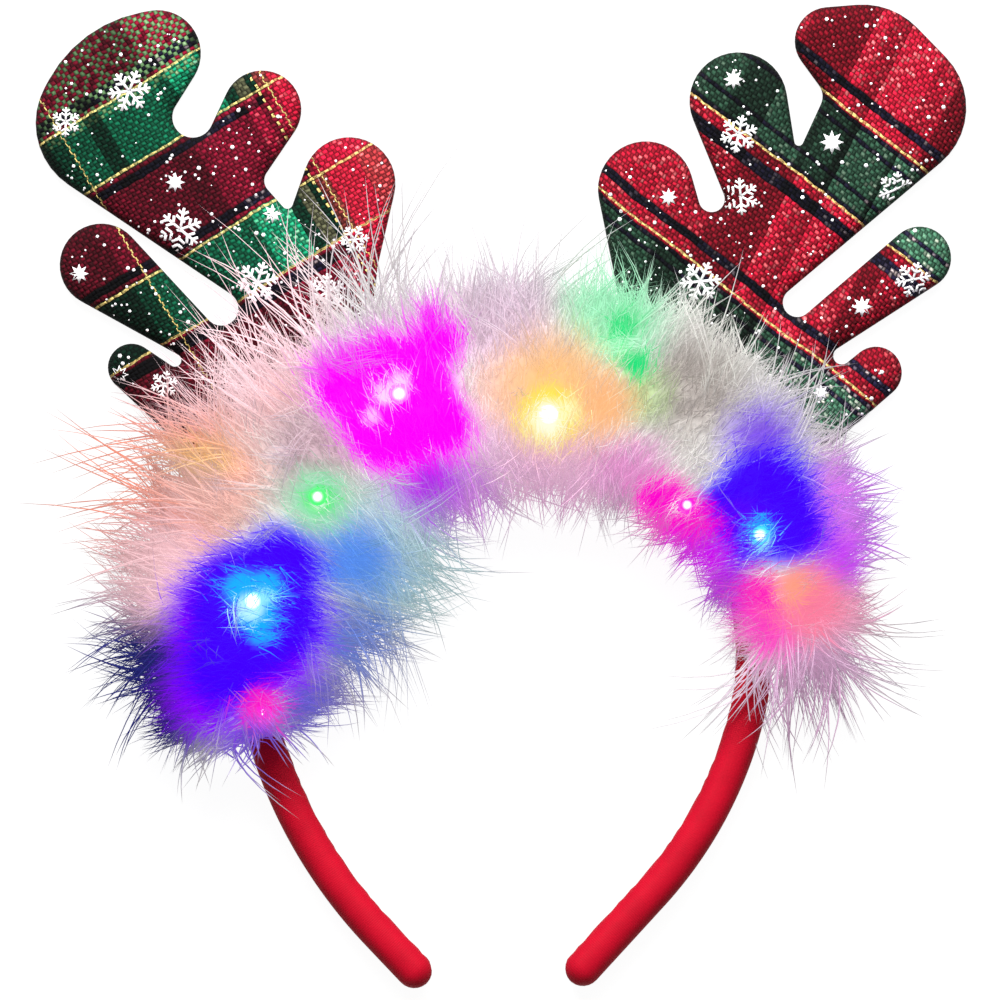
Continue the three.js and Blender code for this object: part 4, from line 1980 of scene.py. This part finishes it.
    def _strands(self, kind: StrandKind, paths: Array) -> Strands:
        """Gives each strand its radius."""
        return Strands(kind, paths, self.draw.uniform(*kind.radius, len(paths)))

    def _over_things(self, paths: Array) -> Array:
        """Lifts strands that would pass through the floor or the antlers.

        Args:
            paths: The strands' points.

        Returns:
            The lifted points.
        """
        flat = paths.reshape(-1, 3)
        lowest = np.full(len(flat), self.floor)
        for antler in self.antlers:
            low = flat[:, 2] < antler.thickness + self.antler_room
            over = np.zeros(len(flat), bool)
            over[low] = antler.inside(flat[low])
            lowest[over] = antler.thickness + self.antler_gap
        lifted = flat.copy()
        lifted[:, 2] = np.maximum(flat[:, 2], lowest)
        return lifted.reshape(paths.shape)

    def _looks(self, strands: Strands) -> Array:
        """Colours the strands' points with painted LED light, glow and shade, and painted shade towards their
        tips.

        Args:
            strands: The strands.

        Returns:
            Red, green, blue and painted glow, point by point of each strand.
        """
        kind, draw = strands.kind, self.draw
        root = strands.paths[:, :1]
        count, points = strands.paths.shape[:2]
        stray = draw.normal(0, 1, (count, 1)) * kind.stray
        looks = self.colours.at(root + (strands.paths - root) * kind.follow, stray)
        # Painted shade and tints of the tips, growing towards each tip.
        far = np.linspace(0, 1, points)[None, :, None] ** 2 * kind.tip_share
        looks = looks * (1 - far) + self.tips.at(strands.paths) * far
        uneven = draw.uniform(*self.uneven, (count, 1, 1)) * (1 - self.uneven_loss * looks[..., 3:])
        looks[..., :3] *= 1 + uneven
        return looks

    def _mesh(self, workshop: Workshop, name: str, strands: Strands, looks: Array) -> Piece:
        """Makes one mesh of tapered strands, each closed at its root and pointed at its tip.

        Args:
            workshop: Makes the mesh.
            name: The piece's name.
            strands: The strands.
            looks: The points' colours.

        Returns:
            The piece.
        """
        paths, sides = strands.paths, self.strand_sides
        count, points = paths.shape[:2]
        rings = points - 1
        lead = unit(paths[:, -1] - paths[:, 0])
        steep = np.abs(lead[:, 2:]) > self.upright
        side = unit(np.cross(lead, np.where(steep, RIGHT, UP)))
        rise = np.cross(lead, side)
        turn = np.arange(sides) * FULL_TURN / sides
        circle = side[:, None] * np.cos(turn)[:, None] + rise[:, None] * np.sin(turn)[:, None]
        taper = 1 - self.taper * np.linspace(0, 1, points)[:rings] ** self.taper_power
        rounds = circle[:, None] * (strands.radius[:, None] * taper)[..., None, None]
        body = (paths[:, :rings, None] + rounds).reshape(count, rings * sides, 3)
        body[:, :, 2] = np.maximum(body[:, :, 2], self.strand_floor)
        corners = np.concatenate([body, paths[:, -1:]], axis=1)
        first = np.arange(count)[:, None, None] * (rings * sides + 1)
        quads = (ring_faces(rings, sides)[None] + first).reshape(-1, 4)
        tips = cap_faces((rings - 1) * sides, sides, rings * sides, True)
        roots = np.array([[2, 1, 0]])
        triangles = (np.concatenate([tips, roots])[None] + first).reshape(-1, 3)
        piece = workshop.mesh(name, corners.reshape(-1, 3), [quads, triangles])
        ring_looks = np.repeat(looks[:, :-1], sides, axis=1)
        hold_colours(piece, "look", np.concatenate([ring_looks, looks[:, -1:]], axis=1))
        lay_flat_map(piece)
        return piece


@dataclass
class Studio:
    """A bright white floor, soft light and a camera straight above."""

    pixel_mm: float = 0.27
    frame_pixels: int = 1000
    hoop_pixel: tuple[float, float] = (503.0, 656.0)
    camera_height: float = 3.0
    film_mm: float = 36.0
    view_end: float = 20.0
    floor_size: float = 4.0
    floor_drop: float = 0.0004
    floor_grey: float = 0.08
    floor_light: float = 0.95
    floor_roughness: Range = (0.7, 0.8)
    floor_waves: float = 0.01
    sky: float = 0.24
    key_place: Triple = (-0.2, 0.75, 0.75)
    key_power: float = 15.5
    fill_place: Triple = (0.25, 0.75, 0.75)
    fill_power: float = 9.0
    light_size: float = 0.6

    def build(self, workshop: Workshop) -> None:
        """Sets the floor, the lights and the camera.

        Args:
            workshop: Holds where the drawing lies in the row frame.
        """
        scene = bpy.context.scene
        scene.view_settings.view_transform = "Standard"
        self._floor()
        self._sky()
        self._area("key_light", self.key_place, self.key_power)
        self._area("fill_light", self.fill_place, self.fill_power)
        camera = bpy.data.cameras.new("camera")
        middle = self.frame_pixels / 2
        across = (middle - self.hoop_pixel[0]) * self.pixel_mm
        up = (self.hoop_pixel[1] - middle) * self.pixel_mm
        view = self.frame_pixels * self.pixel_mm * MM
        camera.sensor_width = self.film_mm
        camera.lens = self.film_mm * self.camera_height / view
        camera.clip_end = self.view_end
        eye = workshop.row(np.array([across, up, 0.0])) + UP * self.camera_height
        scene.camera = stand("camera", camera, eye)

    def _floor(self) -> None:
        """Lays the floor just under the part."""
        half = self.floor_size / 2
        mesh = bpy.data.meshes.new("floor")
        corners = ((-half, -half), (half, -half), (half, half), (-half, half))
        mesh.from_pydata([(x, y, -self.floor_drop) for x, y in corners], [], [(0, 1, 2, 3)])
        floor = stand("floor", mesh)
        shader = Shader("floor")
        mottle = shader.noise(shader.place(), self.floor_waves)
        floor.data.materials.append(shader.finish({
            "Base Color": (self.floor_grey, self.floor_grey, self.floor_grey, 1),
            "Roughness": mottle.between(*self.floor_roughness),
            "Emission Color": (1, 1, 1, 1),
            "Emission Strength": self.floor_light,
        }))
        floor.visible_diffuse = False

    def _sky(self) -> None:
        """Lights the scene evenly from all around."""
        world = bpy.data.worlds.new("studio")
        world.use_nodes = True
        background = world.node_tree.nodes["Background"]
        background.inputs["Color"].default_value = (1, 1, 1, 1)
        background.inputs["Strength"].default_value = self.sky
        bpy.context.scene.world = world

    def _area(self, name: str, place: Triple, power: float) -> None:
        """Adds a wide soft light that faces the part.

        Args:
            name: The light's name.
            place: Where it stands.
            power: How strong it is, in watts.
        """
        lamp = bpy.data.lights.new(name, "AREA")
        lamp.size = self.light_size
        lamp.energy = power
        facing = (-Vector(place)).to_track_quat("-Z", "Y")
        stand(name, lamp, place).rotation_euler = facing.to_euler()


RIGHT_TARTAN = TartanFinish(
    name="tartan_right",
    slant=math.radians(-38),
    skew=0.18,
    middle=(74.8, 119.1),
    weft=Sett(-6.6, (
        Stripe(Thread.RUBY, 11.7),
        Stripe(Thread.BLACK, 14.2),
        Stripe(Thread.RUBY, 18.3),
        Stripe(Thread.BLACK, 19.8),
        Stripe(Thread.PINE, 22.6),
        Stripe(Thread.BLACK, 23.8),
        Stripe(Thread.PINE, 28.9),
    ), line=17.95),
    warp_start=-60.0,
    warp=(
        WarpBand(-27, 1.35, 0.75),
        WarpBand(-18, 1.1, 0.3),
        WarpBand(-16, 0.6, 0.2),
        WarpBand(-4, 0.5, 0.95),
        WarpBand(-1, 0.6, 0.25),
        WarpBand(2.5, 1.8, 0.5),
        WarpBand(6, 1.1, 0.45),
        WarpBand(8, 0.9, 0.12),
        WarpBand(19, 1.95, 1.1),
        WarpBand(21, 1.2, 0.25),
        WarpBand(26, 1.3, 1.9),
        WarpBand(32, 0.55, 1.6),
        WarpBand(60, 1.1, 2.8),
    ),
    warp_lines=(),
    mingled_from=100.0,
)

LEFT_TARTAN = TartanFinish(
    name="tartan_left",
    slant=math.radians(31),
    skew=0.0,
    middle=(-77.8, 119.1),
    weft=Sett(8.7, (
        Stripe(Thread.CRIMSON, 9.6),
        Stripe(Thread.BLACK, 12.0),
        Stripe(Thread.CRIMSON, 13.6),
        Stripe(Thread.GREEN, 22.8),
    ), line=13.9),
    warp_start=-60.0,
    warp=(
        WarpBand(-36, 0.26, 0.06),
        WarpBand(-29, 0.2, 0.06),
        WarpBand(-25, 0.4, 0.18),
        WarpBand(-17, 0.36, 0.4),
        WarpBand(-12.5, 0.28, 0.1),
        WarpBand(-2, 0.27, 0.5),
        WarpBand(4, 0.21, 0.55),
        WarpBand(8, 0.5, 0.42),
        WarpBand(18.5, 0.65, 1.6),
        WarpBand(21.5, 0.5, 0.15),
        WarpBand(25, 1.0, 0.6, 0.15),
        WarpBand(28, 0.5, 0.1),
        WarpBand(31.5, 0.8, 0.2, 0.3),
        WarpBand(40, 1.2, 0.5, 0.95),
        WarpBand(60, 2.4, 1.2, 0.85),
    ),
    warp_lines=(-24.3, 27.4, 30.2),
    mingled_from=37.5,
)

RIGHT_DISCS = (
    Disc(65.1, 39.1, 2.0),
    Disc(100.6, 76.5, 7.0),
    Disc(91.4, 81.0, -2.3),
    Disc(112.4, 107.4, 8.5),
    Disc(79.4, 95.4, -3.9),
    Disc(105.5, 148.0, 19.5),
    Disc(97.0, 155.3, 20.5),
    Disc(87.9, 165.9, 9.2),
    Disc(81.2, 151.0, -5.0),
    Disc(79.8, 138.9, -1.2),
    Disc(63.5, 149.7, 13.2),
    Disc(56.3, 123.3, -3.5),
    Disc(38.5, 126.0, 12.9),
    Disc(39.7, 64.8, 2.0),
    Disc(0.0, 0.0, -73.0),
)

LEFT_DISCS = (
    Disc(-39.7, 64.8, 2.0),
    Disc(-26.3, 104.0, -7.6),
    Disc(-41.5, 127.5, 12.5),
    Disc(-58.2, 122.2, -1.5),
    Disc(-60.8, 128.3, -3.6),
    Disc(-65.0, 147.4, 10.6),
    Disc(-83.7, 145.4, -5.5),
    Disc(-93.2, 162.6, 11.7),
    Disc(-90.9, 138.3, 36.0),
    Disc(-106.0, 143.8, 20.1),
    Disc(-76.0, 93.8, -4.6),
    Disc(-108.4, 105.5, 11.2),
    Disc(-88.5, 79.8, -1.7),
    Disc(-100.2, 77.9, 6.4),
    Disc(-65.1, 39.1, 2.0),
    Disc(0.0, 0.0, -73.0),
)

TWIGS = (
    Twig(0.0, 0.0, 1.0),
    Twig(0.42, 1.0, 0.36),
    Twig(0.42, -1.0, 0.36),
    Twig(0.7, 1.0, 0.28),
    Twig(0.7, -1.0, 0.28),
)

RIGHT_PRINTS = (
    Print(Motif.STAR, 62.1, 155.5, 2.8),
    Print(Motif.STAR, 44.6, 123.7, 2.5),
    Print(Motif.STAR, 88.6, 138.5, 3.3),
    Print(Motif.STAR, 96.7, 94.2, 2.9),
    Print(Motif.STAR, 85.6, 71.0, 2.3),
    Print(Motif.FLAKE, 63.5, 140.7, 5.2, 0.3),
    Print(Motif.FLAKE, 64.0, 123.9, 5.0, 0.6),
    Print(Motif.FLAKE, 53.2, 101.0, 5.6, 0.1),
    Print(Motif.FLAKE, 105.8, 125.8, 4.8, 0.4),
    Print(Motif.FLAKE, 110.4, 101.5, 4.9, 0.2),
)

LEFT_PRINTS = (
    Print(Motif.FLAKE, -100.7, 152.3, 5.8, 0.15),
    Print(Motif.FLAKE, -86.9, 115.0, 5.9, 0.35),
    Print(Motif.FLAKE, -66.2, 100.7, 5.8, 0.2),
    Print(Motif.FLAKE, -47.5, 98.0, 5.2, 0.5),
    Print(Motif.FLAKE, -40.0, 112.3, 4.0, 0.1),
    Print(Motif.FLAKE, -117.8, 143.9, 4.0, 0.5),
    Print(Motif.FLAKE, -91.3, 73.2, 3.8, 0.3),
    Print(Motif.STAR, -88.3, 127.7, 2.7),
    Print(Motif.STAR, -62.1, 119.3, 2.7),
    Print(Motif.STAR, -114.2, 103.1, 2.7),
    Print(Motif.STAR, -103.4, 75.9, 2.6),
)

BOA_SECTIONS = (
    BoaSection(-128, 2, 9, 18, 6),
    BoaSection(-120, 3, 18, 30, 11),
    BoaSection(-95, 3, 23, 37, 22),
    BoaSection(-60, 2, 26, 39, 24),
    BoaSection(-25, 5, 24, 39, 19),
    BoaSection(5, 6, 22, 37, 14),
    BoaSection(30, 9, 23, 37, 15),
    BoaSection(55, 12, 21, 37, 13),
    BoaSection(78, 14, 17.5, 34, 13),
    BoaSection(98, 12, 12, 27, 9),
    BoaSection(108, 11, 8, 17, 8),
)

TUFTS = (
    Tuft(98, 0.45, 1.0, 27),
    Tuft(98, -0.02, 1.0, 28),
    Tuft(98, -0.6, 0.5, 10),
    Tuft(-120, 1.2, 0.3, 16),
    Tuft(-120, 0.6, -0.3, 7),
    Tuft(-120, -1.0, 0.05, 22),
)

WHISKERS = (
    Whiskers((-78, -14), (14, 50), -0.1, (30, 50), 50),
    Whiskers((-112, -66), (-5, 35), 0.1, (18, 30), 100),
    Whiskers((-98, -34), (150, 188), -0.15, (22, 38), 75),
    Whiskers((-34, 14), (150, 188), -0.25, (12, 26), 45),
    Whiskers((-128, -114), (-5, 185), -0.6, (10, 18), 28),
    Whiskers((-20, 66), (15, 60), 0.0, (16, 30), 46),
    Whiskers((64, 100), (0, 40), 0.2, (12, 24), 35),
    Whiskers((94, 107), (-5, 185), 1.5, (18, 34), 35),
    Whiskers((10, 84), (150, 185), 0.1, (8, 15), 45),
)

# Colours of the LEDs' light, painted on the down.
MAGENTA = (255, 0, 255)
ROSE = (255, 0, 205)
DEEP_BLUE = (66, 0, 255)
VIOLET = (142, 0, 255)
CYAN = (24, 176, 255)
MINT = (40, 228, 128)

# Painted light and shade on the white down: the LEDs' coloured light as tints, and the grey and navy dabs as
# painted shade.
LED_LIGHT_AND_SHADE_DABS = (
    Dab(-98, 45, 26, 12, (250, 148, 120), 0.15),
    Dab(-78, 50, 15, 8, (232, 184, 176), 0.3),
    Dab(-80, 57, 7, 5, (236, 196, 110), 0.35),
    Dab(-96, -6, 24, 9, (40, 44, 126), 0.1),
    Dab(-92, 24, 15, 8, (255, 208, 214), 0.45),
    Dab(-82, 67, 11, 7, (255, 150, 118), 0.35),
    Dab(-62, 72, 11, 8, (255, 196, 190), 0.3),
    Dab(-76, 92, 28, 12, (255, 216, 224), 0.1),
    Dab(-50, 56, 12, 8, (206, 176, 186), 0.2),
    Dab(-24, 30, 20, 9, (210, 232, 240), 0.25),
    Dab(-41, 26, 11, 7, (98, 156, 250), 0.45),
    Dab(-40, 4, 11, 6, (104, 140, 230), 0.2),
    Dab(-52, -12, 11, 6, (118, 108, 224), 0.25),
    Dab(-66, -24, 10, 6, (124, 84, 222), 0.3),
    Dab(-1, 88, 15, 9, (230, 204, 222), 0.1),
    Dab(-4, 58, 10, 6, (246, 210, 236), 0.2),
    Dab(50, 72, 13, 8, (184, 175, 170), 0.1),
    Dab(37, 70, 7, 5, (190, 210, 160), 0.3),
    Dab(30, 92, 13, 7, (170, 242, 198), 0.3),
    Dab(14, 50, 15, 6, (244, 198, 226), 0.25),
    Dab(34, 50, 9, 6, (240, 164, 220), 0.3),
    Dab(62, 15, 8, 6, (236, 90, 212), 0.4),
    Dab(69, 58, 9, 6, (142, 98, 238), 0.5),
    Dab(92, 38, 16, 7, (232, 132, 250), 0.45),
    Dab(88, 14, 12, 6, (252, 178, 208), 0.15),
    Dab(82, -8, 17, 9, (226, 180, 216), 0.05),
)

# Painted glow: pools of the LEDs' light in the down, with painted white-hot cores beside the bulbs.
GLOW_DABS = (
    Dab(-10, 42, 9, 6, (214, 130, 232), 0.3),
    Dab(-20, 48, 9, 6, (190, 50, 244), 0.6),
    Dab(60, 20, 8, 5, (190, 40, 230), 0.6),
    Dab(-30, 62, 13, 3, MAGENTA, 1),
    Dab(-29.2, 70.5, 17, 3, MAGENTA, 1),
    Dab(-41.3, 73.2, 10.5, 3, MAGENTA, 1),
    Dab(-18.1, 84, 8, 3, MAGENTA, 1),
    Dab(-18.9, 91.3, 3.2, 2, MAGENTA, 1),
    Dab(-17, 62.4, 9.7, 3, MAGENTA, 1),
    Dab(-31.5, 70.5, 2.6, 1.5, (255, 215, 255), 1),
    Dab(-27.6, 73.5, 2.4, 1.5, (255, 215, 255), 1),
    Dab(-35, 64.5, 1.8, 1.2, (255, 190, 255), 1),
    Dab(-78, -9, 12, 5, VIOLET, 0.9),
    Dab(-68.5, 8.5, 21, 4, VIOLET, 1),
    Dab(-66.5, 12.4, 18, 4, DEEP_BLUE, 1),
    Dab(-74, -2, 12, 5, DEEP_BLUE, 1),
    Dab(-58.9, 25, 11, 4, DEEP_BLUE, 1),
    Dab(-69.5, 18.5, 4.6, 1.5, CYAN, 1),
    Dab(-63.2, 19, 4, 1.5, CYAN, 1),
    Dab(-66, 12, 5.4, 1.5, CYAN, 1),
    Dab(-65, 6.6, 3, 1.5, CYAN, 1),
    Dab(-67.5, 13.5, 3.6, 1.5, (190, 250, 255), 1),
    Dab(-64, 16.5, 2.2, 1.2, (150, 240, 255), 1),
    Dab(-64.5, -13.5, 5, 3, (255, 20, 200), 1),
    Dab(-49.1, 42.1, 8, 5, (150, 226, 184), 0.7),
    Dab(-49.1, 42.1, 3.4, 2, (50, 244, 100), 1),
    Dab(-49.3, 41, 1.5, 1, (236, 255, 240), 1),
    Dab(1, 72, 8, 6, (255, 208, 192), 0.5),
    Dab(14, 72, 13, 8, (255, 198, 138), 0.8),
    Dab(27, 68, 7.5, 6, (255, 190, 134), 0.8),
    Dab(12.4, 65, 7.6, 3, (255, 234, 76), 1),
    Dab(12, 64, 4.8, 2, (255, 255, 225), 1),
    Dab(17.5, 66.5, 2.6, 2, (255, 252, 190), 1),
    Dab(32.1, 88, 3.4, 2, MINT, 0.9),
    Dab(35.9, 78, 3.6, 2.2, MINT, 0.9),
    Dab(90, 25, 7, 5, (206, 70, 250), 0.7),
    Dab(80, 33, 7.5, 4, (136, 20, 255), 0.95),
    Dab(62, 38, 11, 4, DEEP_BLUE, 1),
    Dab(70.5, 43, 13.5, 4, DEEP_BLUE, 1),
    Dab(74, 36, 11, 4, DEEP_BLUE, 1),
    Dab(63, 33, 8, 4, (90, 0, 255), 1),
    Dab(43.5, 40.5, 8.5, 3, ROSE, 1),
    Dab(49.5, 34.5, 9, 3, ROSE, 1),
    Dab(48.5, 27, 6.5, 3, (226, 0, 228), 1),
    Dab(55.5, 28, 5.5, 3, (206, 0, 240), 1),
    Dab(48.9, 40.8, 1.4, 0.8, (255, 236, 250), 1),
    Dab(68.8, 34, 3.4, 1.5, CYAN, 1),
    Dab(69.4, 31, 2, 1.2, (150, 240, 255), 1),
    Dab(72, 9, 8, 4, (255, 60, 198), 0.85),
    Dab(69.5, 18, 5, 3, (255, 16, 190), 1),
    Dab(81.5, 15, 9, 5, (255, 130, 164), 0.8),
    Dab(78, 19, 3.6, 3, (255, 160, 136), 0.9),
)

# Painted shade at the strands' tips, grey, navy and teal, with painted tints of the LEDs' light near the
# bulbs.
TIP_SHADE_AND_LIGHT_DABS = (
    Dab(-108, 42, 22, 10, (134, 98, 90)),
    Dab(-96, -8, 22, 8, (26, 30, 84)),
    Dab(-22, 26, 20, 8, (132, 182, 176)),
    Dab(-75, 98, 26, 10, (255, 228, 230)),
    Dab(6, 45, 20, 8, (226, 178, 220)),
    Dab(30, 98, 14, 6, (152, 216, 178)),
    Dab(55, 85, 16, 8, (234, 238, 228)),
    Dab(98, 40, 14, 8, (114, 126, 192)),
    Dab(86, -24, 17, 8, (120, 112, 122)),
    Dab(52, 26, 10, 6, (198, 92, 198)),
)

# The white down with its painted LED light, glow and shade; and the painted shade and tints of the strands'
# tips.
FEATHER_WHITE_AND_PAINTED_LIGHT = Palette((232, 229, 226), LED_LIGHT_AND_SHADE_DABS + GLOW_DABS)
FEATHER_TIP_SHADE_AND_LIGHT = Palette((172, 162, 178), TIP_SHADE_AND_LIGHT_DABS)

BULBS = (
    Bulb("led_1", "bulb_pink", paint(255, 30, 205), 0.4, 0.003, opening=0.0, cover=60),
    Bulb("led_2", "bulb_blue", paint(70, 205, 255), 3.0, 0.006, opening=2.4, cover=16),
    Bulb("led_3", "bulb_orange", paint(255, 176, 110), 0.5, 0.005, opening=0.0, cover=120),
    Bulb("led_4", "bulb_green", paint(70, 250, 110), 1.8, 0.002, opening=1.7, cover=7),
    Bulb("led_5", "bulb_magenta", paint(255, 120, 255), 2.2, 0.008, opening=1.6, cover=16),
    Bulb("led_6", "bulb_yellow", paint(255, 246, 120), 4.0, 0.005, opening=2.6, cover=12),
    Bulb("led_7", "bulb_green", paint(70, 250, 110), 0.5, 0.003, opening=0.0, cover=120),
    Bulb("led_8", "bulb_pink", paint(255, 30, 205), 1.5, 0.003, opening=1.1, cover=0),
    Bulb("led_9", "bulb_blue", paint(70, 205, 255), 2.0, 0.006, opening=1.9, cover=14),
    Bulb("led_10", "bulb_orange", paint(255, 176, 110), 0.5, 0.003, opening=0.0, cover=120),
)


def main() -> None:
    """Builds the headband piece by piece."""
    logging.basicConfig(level=logging.INFO, format="%(name)s: %(message)s")
    hoop = Hoop()
    workshop = Workshop(hoop)
    Studio().build(workshop)
    antlers = (
        Antler("antler_left_pad", "antler_left", LEFT_DISCS, LEFT_TARTAN, LEFT_PRINTS, seed=5),
        Antler("antler_right_pad", "antler_right", RIGHT_DISCS, RIGHT_TARTAN, RIGHT_PRINTS, seed=11),
    )
    HeadBand(hoop).build(workshop)
    for antler in antlers:
        antler.build(workshop)
    string = BulbString(BULBS)
    string.build(workshop)
    FeatherBoa(
        hoop, BOA_SECTIONS, TUFTS, WHISKERS, antlers, FEATHER_WHITE_AND_PAINTED_LIGHT, FEATHER_TIP_SHADE_AND_LIGHT, string
    ).build(workshop)


if __name__ == "__main__":
    main()
